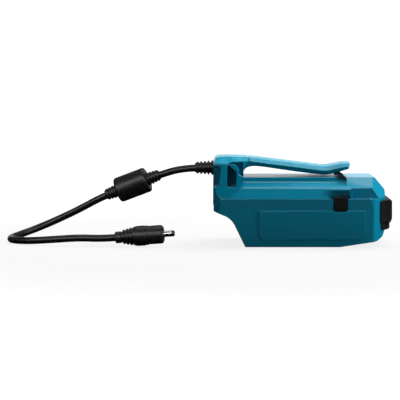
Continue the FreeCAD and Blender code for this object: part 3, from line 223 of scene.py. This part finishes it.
# Joins the triangles of each flat face, and pairs those of the curved ones into quads.
def mergeFaces(mesh):
    flatAngle = math.radians(0.05)
    pairAngle = math.radians(14)
    squareAngle = math.radians(60)
    work = bmesh.new()
    work.from_mesh(mesh)
    bmesh.ops.remove_doubles(work, verts=work.verts, dist=2e-6)
    bmesh.ops.dissolve_limit(work, angle_limit=flatAngle, verts=work.verts, edges=work.edges)
    bmesh.ops.join_triangles(
        work, faces=work.faces, angle_face_threshold=pairAngle, angle_shape_threshold=squareAngle,
    )
    work.to_mesh(mesh)
    work.free()


# A merged copy of a CAD node with rounded edges, which stands for it.
def dressNode(node, name, material, width, segments=2, angle=24):
    source = nodes[node]
    mesh = source.data.copy()
    mesh.name = name
    mergeFaces(mesh)
    mesh.shade_smooth()
    mesh.set_sharp_from_angle(angle=math.radians(angle))
    body = source["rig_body"]
    piece = addPiece(name, mesh, material, body, (node,))
    if width:
        roundEdges(piece, width, segments, angle, node in ("near_shell", "far_shell"))
    return piece


# Shader groups that several materials share

# A new shader node group with the named sockets: (name, kind, start value).
def makeGroup(name, inputs, outputs):
    group = bpy.data.node_groups.new(name, "ShaderNodeTree")
    for socketName, kind, value in inputs:
        socket = group.interface.new_socket(name=socketName, in_out="INPUT", socket_type=kind)
        socket.default_value = value
    for socketName, kind in outputs:
        group.interface.new_socket(name=socketName, in_out="OUTPUT", socket_type=kind)
    return group, group.nodes.new("NodeGroupInput"), group.nodes.new("NodeGroupOutput")


# A Math node fed by sockets or numbers.
def mathNode(tree, operation, first, second):
    node = tree.nodes.new("ShaderNodeMath")
    node.operation = operation
    for socket, value in zip(node.inputs, (first, second)):
        if isinstance(value, (int, float)):
            socket.default_value = value
        else:
            tree.links.new(value, socket)
    return node.outputs[0]


# A smooth step of a socket's value between two limits.
def rampNode(tree, value, low, high, bottom=0.0, top=1.0):
    ramp = tree.nodes.new("ShaderNodeMapRange")
    ramp.interpolation_type = "SMOOTHSTEP"
    ramp.inputs["From Min"].default_value = low
    ramp.inputs["From Max"].default_value = high
    ramp.inputs["To Min"].default_value = bottom
    ramp.inputs["To Max"].default_value = top
    tree.links.new(value, ramp.inputs["Value"])
    return ramp.outputs["Result"]


grain = {"glossScale": 90.0, "glossDetail": 3.0, "bumpDetail": 2.0}
tone = {"slowScale": 28.0, "slowDetail": 4.0, "speckScale": 620.0, "speckDetail": 1.0, "speckLimit": 0.68,
        "speckTone": 0.55}


# Moulded grain: a fine noise as a bump, and a coarse one that varies the gloss.
def makeGrainGroup():
    group, given, result = makeGroup(
        "mouldedGrain",
        [("Grain Scale", "NodeSocketFloat", 1500.0), ("Grain Depth", "NodeSocketFloat", 0.00002),
         ("Gloss", "NodeSocketFloat", 0.45), ("Gloss Spread", "NodeSocketFloat", 0.08)],
        [("Roughness", "NodeSocketFloat"), ("Normal", "NodeSocketVector")],
    )
    place = group.nodes.new("ShaderNodeTexCoord")
    fine = group.nodes.new("ShaderNodeTexNoise")
    coarse = group.nodes.new("ShaderNodeTexNoise")
    coarse.inputs["Scale"].default_value = grain["glossScale"]
    coarse.inputs["Detail"].default_value = grain["glossDetail"]
    fine.inputs["Detail"].default_value = grain["bumpDetail"]
    bump = group.nodes.new("ShaderNodeBump")
    bump.inputs["Strength"].default_value = 1.0
    link = group.links.new
    link(place.outputs["Object"], fine.inputs["Vector"])
    link(place.outputs["Object"], coarse.inputs["Vector"])
    link(given.outputs["Grain Scale"], fine.inputs["Scale"])
    link(given.outputs["Grain Depth"], bump.inputs["Distance"])
    link(fine.outputs["Fac"], bump.inputs["Height"])
    middle = mathNode(group, "SUBTRACT", coarse.outputs["Fac"], 0.5)
    spread = mathNode(group, "MULTIPLY", middle, given.outputs["Gloss Spread"])
    link(mathNode(group, "ADD", spread, given.outputs["Gloss"]), result.inputs["Roughness"])
    link(bump.outputs["Normal"], result.inputs["Normal"])
    return group


# Slow, weak changes of tone over a surface, with a few paler specks of dust.
def makeToneGroup():
    group, given, result = makeGroup(
        "unevenTone",
        [("Color", "NodeSocketColor", (0.5, 0.5, 0.5, 1)), ("Variation", "NodeSocketFloat", 0.06),
         ("Dust", "NodeSocketFloat", 0.02)],
        [("Color", "NodeSocketColor")],
    )
    place = group.nodes.new("ShaderNodeTexCoord")
    slow = group.nodes.new("ShaderNodeTexNoise")
    slow.inputs["Scale"].default_value = tone["slowScale"]
    slow.inputs["Detail"].default_value = tone["slowDetail"]
    specks = group.nodes.new("ShaderNodeTexNoise")
    specks.inputs["Scale"].default_value = tone["speckScale"]
    specks.inputs["Detail"].default_value = tone["speckDetail"]
    darker = group.nodes.new("ShaderNodeHueSaturation")
    dusty = group.nodes.new("ShaderNodeMix")
    dusty.data_type = "RGBA"
    dusty.inputs["B"].default_value = (tone["speckTone"], tone["speckTone"], tone["speckTone"], 1)
    link = group.links.new
    link(place.outputs["Object"], slow.inputs["Vector"])
    link(place.outputs["Object"], specks.inputs["Vector"])
    middle = mathNode(group, "SUBTRACT", slow.outputs["Fac"], 0.5)
    wave = mathNode(group, "MULTIPLY", middle, given.outputs["Variation"])
    link(mathNode(group, "ADD", mathNode(group, "MULTIPLY", wave, 2.0), 1.0), darker.inputs["Value"])
    link(given.outputs["Color"], darker.inputs["Color"])
    fleck = mathNode(group, "GREATER_THAN", specks.outputs["Fac"], tone["speckLimit"])
    link(mathNode(group, "MULTIPLY", fleck, given.outputs["Dust"]), dusty.inputs["Factor"])
    link(darker.outputs["Color"], dusty.inputs["A"])
    link(dusty.outputs["Result"], result.inputs["Color"])
    return group


mouldedGrain = makeGrainGroup()
unevenTone = makeToneGroup()


# A surface finish: uneven tone for its colour, moulded grain for its bump and gloss.
def makeMaterial(
    name, colour, gloss, metallic=0.0, grainScale=1500.0, grainDepth=0.02, spread=0.08, variation=0.05, dust=0.02,
    specular=0.5,
):
    material = bpy.data.materials.new(name)
    material.use_nodes = True
    tree = material.node_tree
    shader = tree.nodes["Principled BSDF"]
    shader.inputs["Metallic"].default_value = metallic
    shader.inputs["Specular IOR Level"].default_value = specular
    toneNode = tree.nodes.new("ShaderNodeGroup")
    toneNode.node_tree = unevenTone
    toneNode.inputs["Color"].default_value = colour
    toneNode.inputs["Variation"].default_value = variation
    toneNode.inputs["Dust"].default_value = dust
    grainNode = tree.nodes.new("ShaderNodeGroup")
    grainNode.node_tree = mouldedGrain
    grainNode.inputs["Grain Scale"].default_value = grainScale
    grainNode.inputs["Grain Depth"].default_value = grainDepth * mm
    grainNode.inputs["Gloss"].default_value = gloss
    grainNode.inputs["Gloss Spread"].default_value = spread
    tree.links.new(toneNode.outputs["Color"], shader.inputs["Base Color"])
    tree.links.new(grainNode.outputs["Roughness"], shader.inputs["Roughness"])
    tree.links.new(grainNode.outputs["Normal"], shader.inputs["Normal"])
    return material


finishes = {
    "tealPlastic": dict(colour=(0.0, 0.222, 0.35, 1), gloss=0.25, grainScale=1800.0, grainDepth=0.002, dust=0.005,
                        specular=0.35),
    # The hook's teal is a shade lighter than the housing's: painted light, standing in for the brighter light its
    # upward facets catch
    "hookTealPaintedLighter": dict(colour=(0.0, 0.235, 0.35, 1), gloss=0.28, grainScale=1800.0, grainDepth=0.002, dust=0.005,
                     specular=0.35),
    "blackRubber": dict(colour=(0.006, 0.006, 0.007, 1), gloss=0.55, grainScale=1200.0, grainDepth=0.015,
                        specular=0.18),
    "buttonBlack": dict(colour=(0.005, 0.004, 0.004, 1), gloss=0.3, grainScale=1500.0, grainDepth=0.005,
                        specular=0.2),
    "blackPlastic": dict(colour=(0.015, 0.015, 0.015, 1), gloss=0.45),
    "whitePlastic": dict(colour=(0.62, 0.62, 0.6, 1), gloss=0.5),
    "boardGreen": dict(colour=(0.01, 0.09, 0.03, 1), gloss=0.4, variation=0.12),
    "contactMetal": dict(colour=(0.72, 0.6, 0.36, 1), gloss=0.28, metallic=1.0, grainDepth=0.005),
    "canMetal": dict(colour=(0.7, 0.7, 0.72, 1), gloss=0.3, metallic=1.0, grainDepth=0.004),
    "sinkMetal": dict(colour=(0.3, 0.31, 0.33, 1), gloss=0.42, metallic=1.0, grainDepth=0.01),
    "outletMetal": dict(colour=(0.42, 0.42, 0.43, 1), gloss=0.3, metallic=1.0, grainDepth=0.004),
    "screwSteel": dict(colour=(0.28, 0.28, 0.3, 1), gloss=0.32, metallic=1.0, grainDepth=0.008),
    "softBlack": dict(colour=(0.009, 0.009, 0.010, 1), gloss=0.42, grainScale=1100.0, grainDepth=0.015,
                      specular=0.35),
    "cordJacket": dict(colour=(0.008, 0.008, 0.009, 1), gloss=0.36, grainScale=900.0, grainDepth=0.01,
                       specular=0.35),
    "ferriteGrey": dict(colour=(0.05, 0.05, 0.055, 1), gloss=0.6, grainDepth=0.05),
    "wireRed": dict(colour=(0.35, 0.01, 0.008, 1), gloss=0.4),
}
materials = {name: makeMaterial(name, **values) for name, values in finishes.items()}
print("materials made:", len(materials))


# Camera at the photograph's viewing angle

camera = {
    "distance": 1.5,
    "elevation": 3.9,
    "aim": (-0.0688, 0.0, 0.02861),
    "lens": 199.35,
    "sensor": 36.0,
}


# Looks along +Y from in front of the near side, a little from above.
def placeCamera():
    data = bpy.data.cameras.new("camera")
    data.lens = camera["lens"]
    data.sensor_width = camera["sensor"]
    data.clip_end = 20
    eye = bpy.data.objects.new("camera", data)
    bpy.context.scene.collection.objects.link(eye)
    tilt = math.radians(camera["elevation"])
    aim = Vector(camera["aim"])
    eye.location = aim + Vector((0, -math.cos(tilt), math.sin(tilt))) * camera["distance"]
    eye.rotation_euler = (aim - eye.location).to_track_quat("-Z", "Y").to_euler()
    bpy.context.scene.camera = eye


placeCamera()


# The lead. These points are the route's in the holder's own frame

leadRoute = [
    (-61.0, 0.0, 50.6),
    (-78.5, 0.0, 50.6),
    (-95.5, 3.2, 45.9),
    (-133.5, 9.6, 31.2),
    (-151.8, 15.6, 21.0),
    (-168.4, 21.2, 12.9),
    (-182.5, 21.2, 7.0),
    (-193.6, 12.9, 3.5),
    (-198.0, 0.0, 2.5),
    (-193.8, -14.4, 2.55),
    (-182.1, -23.2, 2.9),
    (-166.1, -27.7, 4.2),
    (-149.5, -29.6, 5.5),
    (-134.1, -31.08, 5.06),
    (-124.9, -32.2, 5.83),
]
lead = {"radius": 2.4, "ringPoints": 6, "stepsPerPoint": 16, "length": 0.2467}


# The lead: a round tube along the smooth spline of its route.
def makeLead():
    curve = bpy.data.curves.new("lead", "CURVE")
    curve.dimensions = "3D"
    spline = curve.splines.new("NURBS")
    spline.points.add(len(leadRoute) - 1)
    flat = np.hstack([np.array(leadRoute) * mm, np.ones((len(leadRoute), 1))])
    spline.points.foreach_set("co", flat.ravel())
    spline.order_u = 3
    spline.use_endpoint_u = True
    spline.resolution_u = lead["stepsPerPoint"]
    curve.bevel_depth = lead["radius"] * mm
    curve.bevel_resolution = lead["ringPoints"]
    curve.use_fill_caps = True
    piece = bpy.data.objects.new("lead", curve)
    bpy.context.scene.collection.objects.link(piece)
    curve.materials.append(materials["cordJacket"])
    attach(piece, "housing")
    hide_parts("cord")
    return piece


leadPiece = makeLead()
print("lead made")


# Housing, hook, button and cover: rounded copies of the frame's pieces

rounded = {
    "near_shell": ("housingNear", "tealPlastic", 0.35),
    "far_shell": ("housingFar", "tealPlastic", 0.35),
    "hook_catch": ("beltCatch", "blackRubber", 0.25),
    "power_button": ("pushButton", "buttonBlack", 0.35),
    "port_cover": ("outletCover", "blackRubber", 0.5),
    "cover_strap": ("outletStrap", "blackRubber", 0.3),
    "cord_boot": ("leadBoot", "softBlack", 0.2),
    "choke_case": ("chokeCase", "softBlack", 0.3),
    "choke_boots": ("chokeSleeves", "softBlack", 0.2),
    "plug_body": ("plugGrip", "softBlack", 0.2),
    "plug_barrel": ("plugSleeve", "outletMetal", 0.1),
    "plug_tip": ("plugNose", "blackPlastic", 0.1),
}
for node, (name, finish, width) in rounded.items():
    dressNode(node, name, materials[finish], width * mm)


# Belt hook: one springy moulding from the cap over the tower to the upturned tip

hook = {
    "step": 0.6,
    "blur": 2.2,
    "start": -59.6,
    "tip": 31.9,
    "startLean": 0.42,
    "tipLean": 0.31,
    "endRound": 0.5,
    "shoulderRound": 0.7,
    "brimRound": 0.5,
    "hemRound": 0.8,
    "extraPlaces": [-59.5, -59.3, -43.7, -42.9, -40.16, -40.15, -39.75, -39.6, -37.05, -36.3, -35.55, 31.6, 31.8],
    "groovePlace": -36.3,
    "grooveWidth": 0.75,
    "grooveDepth": 1.3,
    "grooveTopShare": 0.4,
    "crownShares": [0.0, 0.3, 0.55, 0.78],
    "screwHoles": [(-50.0, -13.0), (-50.0, 13.0)],
    "screwHoleRadius": 2.6,
    "screwHoleFloor": 57.7,
    "screwHoleTool": 6.0,
    "softFrom": -39.0,
    "softRun": 6.0,
    "leanRun": 6.0,
    "leanFoot": 54.4,
    "tipLevel": 55.0,
    "mostTipLean": 3.0,
    # Heights and half widths at places along X: top, front edge of the top, lower edge of the light
    # flank, underside; then half widths of the top, the flank and the underside
    "top": [(-59.6, 58.4), (-57.2, 58.9), (-52.8, 59.35), (-43.7, 59.35), (-42.9, 58.85), (-36.4, 58.85),
            (-31.2, 58.5), (15.5, 52.6), (26.8, 54.95), (31.9, 54.95)],
    "edge": [(-59.6, 58.2), (-57.2, 58.8), (-36.4, 58.6), (-31.2, 57.8), (-27.5, 57.0), (-2.0, 54.0),
             (15.5, 51.75), (26.8, 54.2), (31.9, 54.2)],
    "flank": [(-59.6, 54.7), (-50.0, 54.7), (-46.9, 56.0), (-34.2, 55.7), (-27.5, 54.7), (-2.0, 51.5),
              (15.5, 49.2), (26.8, 51.9), (31.9, 52.3)],
    "under": [(-59.6, 54.45), (-40.16, 54.45), (-40.15, 45.8), (-39.75, 45.9), (-39.6, 49.0), (-38.5, 50.8),
              (-36.4, 52.1), (-33.4, 52.75), (-27.6, 52.2), (-2.0, 48.5), (15.5, 46.5), (31.9, 50.6)],
    "topHalf": [(-59.6, 17.2), (-40.0, 17.2), (-30.0, 17.0), (31.9, 17.0)],
    "flankHalf": [(-59.6, 26.8), (-48.0, 26.8), (-37.0, 20.5), (31.9, 20.5)],
    "underHalf": [(-59.6, 26.7), (-49.6, 26.7), (-47.0, 22.0), (-40.16, 18.4), (-40.15, 17.4), (-30.0, 17.8),
                  (31.9, 18.0)],
}


# A value along the hook, softened from softFrom on with a Gaussian: sum(w * v) / sum(w) over the places x',
# where w = exp(-(x - x')^2 / (2 * blur^2)).
def hookRow(name, places, softFrom=hook["softFrom"]):
    knots = np.array(hook[name])
    values = np.interp(places, knots[:, 0], knots[:, 1])
    fine = np.arange(hook["start"], hook["tip"] + 6, 0.25)
    level = np.interp(fine, knots[:, 0], knots[:, 1])
    weight = np.exp(-((places[:, None] - fine) ** 2) / (2 * hook["blur"] ** 2))
    soft = (weight * level).sum(axis=1) / weight.sum(axis=1)
    share = np.clip((places - softFrom) / hook["softRun"], 0, 1)
    return values * (1 - share) + soft * share


# Points of a rounded corner: (1-t)^2 a + 2t(1-t) c + t^2 b, where a and b lie at reach from the corner c
# towards its neighbours, or nearer where these are close. Each point has a (y, z) pair for every section.
def roundCorner(before, corner, after, reach, count=4):
    def towards(other):
        step = other - corner
        length = np.linalg.norm(step, axis=1, keepdims=True)
        return corner + step * (reach / np.maximum(length, reach * 2.2))

    a, b = towards(before), towards(after)
    shares = np.linspace(0, 1, count)
    return [(1 - t) ** 2 * a + 2 * t * (1 - t) * corner + t ** 2 * b for t in shares]


# Sections across the hook, joined along X.
def makeHook():
    places = np.arange(hook["start"], hook["tip"], hook["step"])
    places = np.sort(np.concatenate([places, hook["extraPlaces"], [hook["tip"]]]))
    top, edge, flank, under = (hookRow(name, places) for name in ("top", "edge", "flank", "under"))
    widths = ("topHalf", "flankHalf", "underHalf")
    topHalf, flankHalf, underHalf = (hookRow(name, places, hook["tip"] + 30) for name in widths)
    # The groove across the neck: depth * max(0, 1 - |x - place| / width)
    groove = hook["grooveDepth"] * np.clip(1 - np.abs(places - hook["groovePlace"]) / hook["grooveWidth"], 0, 1)
    top = top - groove * hook["grooveTopShare"]
    edge = edge - groove
    # The rounded ends: each section shrinks by round * (1 - sqrt(1 - (1 - d / round)^2)) at a distance d
    fromEnd = np.minimum(places - hook["start"], hook["tip"] - places)
    near = 1 - np.clip(fromEnd / hook["endRound"], 0, 1)
    shrink = hook["endRound"] * (1 - np.sqrt(1 - near ** 2))
    top, edge, flank, under = top - shrink, edge - shrink * 0.7, flank - shrink * 0.3, under + shrink
    topHalf, flankHalf, underHalf = topHalf - shrink * 0.7, flankHalf - shrink, underHalf - shrink
    nil = np.zeros_like(places)
    # The crowned top: at a share s of its half width it has dropped from top to edge by s^2
    crown = [
        np.stack([topHalf * share, top + (edge - top) * share ** 2], axis=1) for share in hook["crownShares"]
    ]
    shoulder, brim, hem, keel = (
        np.stack(pair, axis=1) for pair in ((topHalf, edge), (flankHalf, flank), (underHalf, under), (nil, under))
    )
    half = crown
    half += roundCorner(crown[-1], shoulder, brim, hook["shoulderRound"])
    half += roundCorner(shoulder, brim, hem, hook["brimRound"])
    half += roundCorner(brim, hem, keel, hook["hemRound"])
    half += [keel]
    ring = half + [point * (-1, 1) for point in half[-2:0:-1]]
    y = np.stack([point[:, 0] for point in ring], axis=1)
    z = np.stack([point[:, 1] for point in ring], axis=1)
    x = np.repeat(places[:, None], y.shape[1], axis=1)
    # Both ends lean: x moves towards the leaning end plane, over the first and the last leanRun
    run = hook["leanRun"]
    startPlane = np.clip(z - hook["leanFoot"], 0, run) * hook["startLean"]
    x = x + np.clip((hook["start"] + run - x) / run, 0, 1) * startPlane
    tipPlane = np.clip((hook["tipLevel"] - z) * hook["tipLean"], 0, hook["mostTipLean"])
    x = x - np.clip((x - hook["tip"] + run) / run, 0, 1) * tipPlane
    mesh = gridMesh("beltHook", np.stack([x, y, z], axis=-1) * mm, closeV=True, capStart=True, capEnd=True)
    piece = addPiece("beltHook", mesh, materials["hookTealPaintedLighter"], None)
    for holeX, holeY in hook["screwHoles"]:
        cutHole(piece, (holeX, holeY, hook["screwHoleFloor"]), hook["screwHoleRadius"], hook["screwHoleTool"])
    flattenFaces(piece)
    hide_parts("hook_base", "hook_arm")
    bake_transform(piece)
    return piece


# Cuts a round blind hole, open to +Z, into a closed mesh.
def cutHole(piece, floorPoint, radius, depth):
    work = bmesh.new()
    bmesh.ops.create_cone(
        work, cap_ends=True, segments=40, radius1=radius * mm, radius2=radius * mm, depth=depth * mm,
    )
    middle = Vector(floorPoint) + Vector((0, 0, depth / 2))
    bmesh.ops.translate(work, verts=work.verts, vec=middle * mm)
    mesh = bpy.data.meshes.new("holeTool")
    work.to_mesh(mesh)
    work.free()
    tool = bpy.data.objects.new("holeTool", mesh)
    bpy.context.scene.collection.objects.link(tool)
    cut = piece.modifiers.new("hole", "BOOLEAN")
    cut.operation = "DIFFERENCE"
    cut.object = tool
    cut.solver = "EXACT"
    result = applyShape(piece)
    bpy.data.objects.remove(tool)
    bpy.data.meshes.remove(mesh)
    finishMesh(result, 50)


makeHook()
print("hook made")


# Inside pieces keep the frame's shapes

insideFinish = {
    "switch_plunger": "blackPlastic", "switch_body": "blackPlastic", "switch_board": "boardGreen",
    "main_board": "boardGreen", "terminal_block": "blackPlastic", "power_blades": "contactMetal",
    "signal_blades": "contactMetal", "power_inductor": "ferriteGrey", "capacitors": "canMetal",
    "control_chips": "blackPlastic", "heat_sink": "sinkMetal", "usb_board": "boardGreen",
    "usb_shell": "outletMetal", "usb_tongue": "whitePlastic", "link_pins": "contactMetal",
    "shell_screws": "screwSteel", "hook_screws": "screwSteel", "choke_core": "ferriteGrey",
    "plug_contact": "contactMetal", "lead_wires": "wireRed",
}
for node, finish in insideFinish.items():
    data = nodes[node].data
    data.materials.clear()
    data.materials.append(materials[finish])


# Floor, world and lamps

studio = {
    "floorSize": 6.0,
    "lamps": {
        "keyLamp": dict(place=(0.45, 0.85, 0.95), size=(1.0, 0.5), power=26.0),
        "topLamp": dict(place=(0.1, 0.5, 1.15), size=(0.8, 0.8), power=16.0),
        "backLamp": dict(place=(-0.5, 1.1, 0.6), size=(1.0, 0.6), power=5.0),
        "rightLamp": dict(place=(1.25, -0.25, 0.5), size=(0.8, 0.8), power=16.0),
    },
    "lampAim": (-0.03, 0, 0.03),
    # Panels that only a gloss sees. Their ranges are those of the direction's Y or Z, over which they fade
    "backPanel": {"strength": 5.0, "depth": (-0.1, 0.15), "height": (0.9, 0.99), "below": 0.02},
    "frontPanel": {"strength": 8.0, "bottom": (0.22, 0.32), "top": (0.46, 0.56), "depth": (-0.5, -0.2)},
    "horizonPanel": {"strength": 1.0, "depth": (0.88, 0.96), "height": (0.22, 0.36)},
    "ambient": 0.085,
    "floorTone": 0.2,
    "floorShownTone": 0.06,
    "floorGlow": 0.84,
    "floorGlowRange": (0.2, 0.55),
}


# A floor that the camera sees as white with a faint shadow, and that throws little light up.
def makeFloor():
    half = studio["floorSize"] / 2
    mesh = bpy.data.meshes.new("floor")
    corners = [(-half, -half, 0), (half, -half, 0), (half, half, 0), (-half, half, 0)]
    mesh.from_pydata(corners, [], [(0, 1, 2, 3)])
    floor = bpy.data.objects.new("floor", mesh)
    bpy.context.scene.collection.objects.link(floor)
    material = bpy.data.materials.new("paleFloor")
    material.use_nodes = True
    tree = material.node_tree
    shader = tree.nodes["Principled BSDF"]
    shader.inputs["Roughness"].default_value = 0.9
    shader.inputs["Specular IOR Level"].default_value = 0.0
    shader.inputs["Emission Color"].default_value = (1, 1, 1, 1)
    path = tree.nodes.new("ShaderNodeLightPath")
    place = tree.nodes.new("ShaderNodeTexCoord")
    reach = tree.nodes.new("ShaderNodeVectorMath")
    reach.operation = "LENGTH"
    tree.links.new(place.outputs["Object"], reach.inputs[0])
    fade = rampNode(tree, reach.outputs["Value"], *studio["floorGlowRange"], studio["floorGlow"], 1.0)
    # The floor is black to a gloss, so that the holder's sides stay clear of grey haze
    bounce = mathNode(tree, "MULTIPLY", path.outputs["Is Diffuse Ray"], studio["floorTone"])
    shown = mathNode(tree, "MULTIPLY", path.outputs["Is Camera Ray"], studio["floorShownTone"])
    tree.links.new(mathNode(tree, "ADD", bounce, shown), shader.inputs["Base Color"])
    glow = mathNode(tree, "MULTIPLY", path.outputs["Is Camera Ray"], fade)
    tree.links.new(glow, shader.inputs["Emission Strength"])
    mesh.materials.append(material)


# White where the camera sees the backdrop, even and dim as a light. A gloss sees three soft panels in it: one
# overhead, one in front, between the heights that the holder's flat faces mirror, and the pale backdrop low
# behind it, which the top faces mirror.
def makeWorld():
    world = bpy.data.worlds.new("studio")
    bpy.context.scene.world = world
    world.use_nodes = True
    tree = world.node_tree
    tree.nodes.clear()
    out = tree.nodes.new("ShaderNodeOutputWorld")
    shown = tree.nodes.new("ShaderNodeBackground")
    path = tree.nodes.new("ShaderNodeLightPath")
    place = tree.nodes.new("ShaderNodeTexCoord")
    split = tree.nodes.new("ShaderNodeSeparateXYZ")
    link = tree.links.new
    link(place.outputs["Generated"], split.inputs[0])
    depth = split.outputs["Y"]
    height = split.outputs["Z"]
    panel = studio["backPanel"]
    back = rampNode(tree, depth, *panel["depth"], 0, panel["strength"])
    back = mathNode(tree, "MULTIPLY", back, rampNode(tree, height, *panel["height"], panel["below"], 1))
    panel = studio["frontPanel"]
    front = rampNode(tree, height, *panel["bottom"], 0, panel["strength"])
    front = mathNode(tree, "MULTIPLY", front, rampNode(tree, height, *panel["top"], 1, 0))
    front = mathNode(tree, "MULTIPLY", front, rampNode(tree, depth, *panel["depth"], 1, 0))
    panel = studio["horizonPanel"]
    horizon = rampNode(tree, depth, *panel["depth"], 0, panel["strength"])
    horizon = mathNode(tree, "MULTIPLY", horizon, rampNode(tree, height, *panel["height"], 1, 0))
    panels = mathNode(tree, "ADD", mathNode(tree, "ADD", back, front), horizon)
    gloss = mathNode(tree, "MULTIPLY", path.outputs["Is Glossy Ray"], panels)
    diffuse = mathNode(tree, "MULTIPLY", path.outputs["Is Diffuse Ray"], studio["ambient"])
    light = mathNode(tree, "MAXIMUM", path.outputs["Is Camera Ray"], mathNode(tree, "MAXIMUM", gloss, diffuse))
    link(light, shown.inputs["Strength"])
    shown.inputs["Color"].default_value = (1, 1, 1, 1)
    link(shown.outputs[0], out.inputs["Surface"])


# A soft lamp that points at the holder. It leaves no highlight: the world's panels do.
def addLamp(name, place, size, power):
    data = bpy.data.lights.new(name, "AREA")
    data.shape = "RECTANGLE"
    data.size, data.size_y = size
    data.energy = power
    lamp = bpy.data.objects.new(name, data)
    bpy.context.scene.collection.objects.link(lamp)
    lamp.location = place
    lamp.visible_glossy = False
    toHolder = Vector(studio["lampAim"]) - lamp.location
    lamp.rotation_euler = toHolder.to_track_quat("-Z", "Y").to_euler()


makeFloor()
makeWorld()
for name, values in studio["lamps"].items():
    addLamp(name, **values)
bpy.context.scene.view_settings.view_transform = "Standard"
print("studio made")
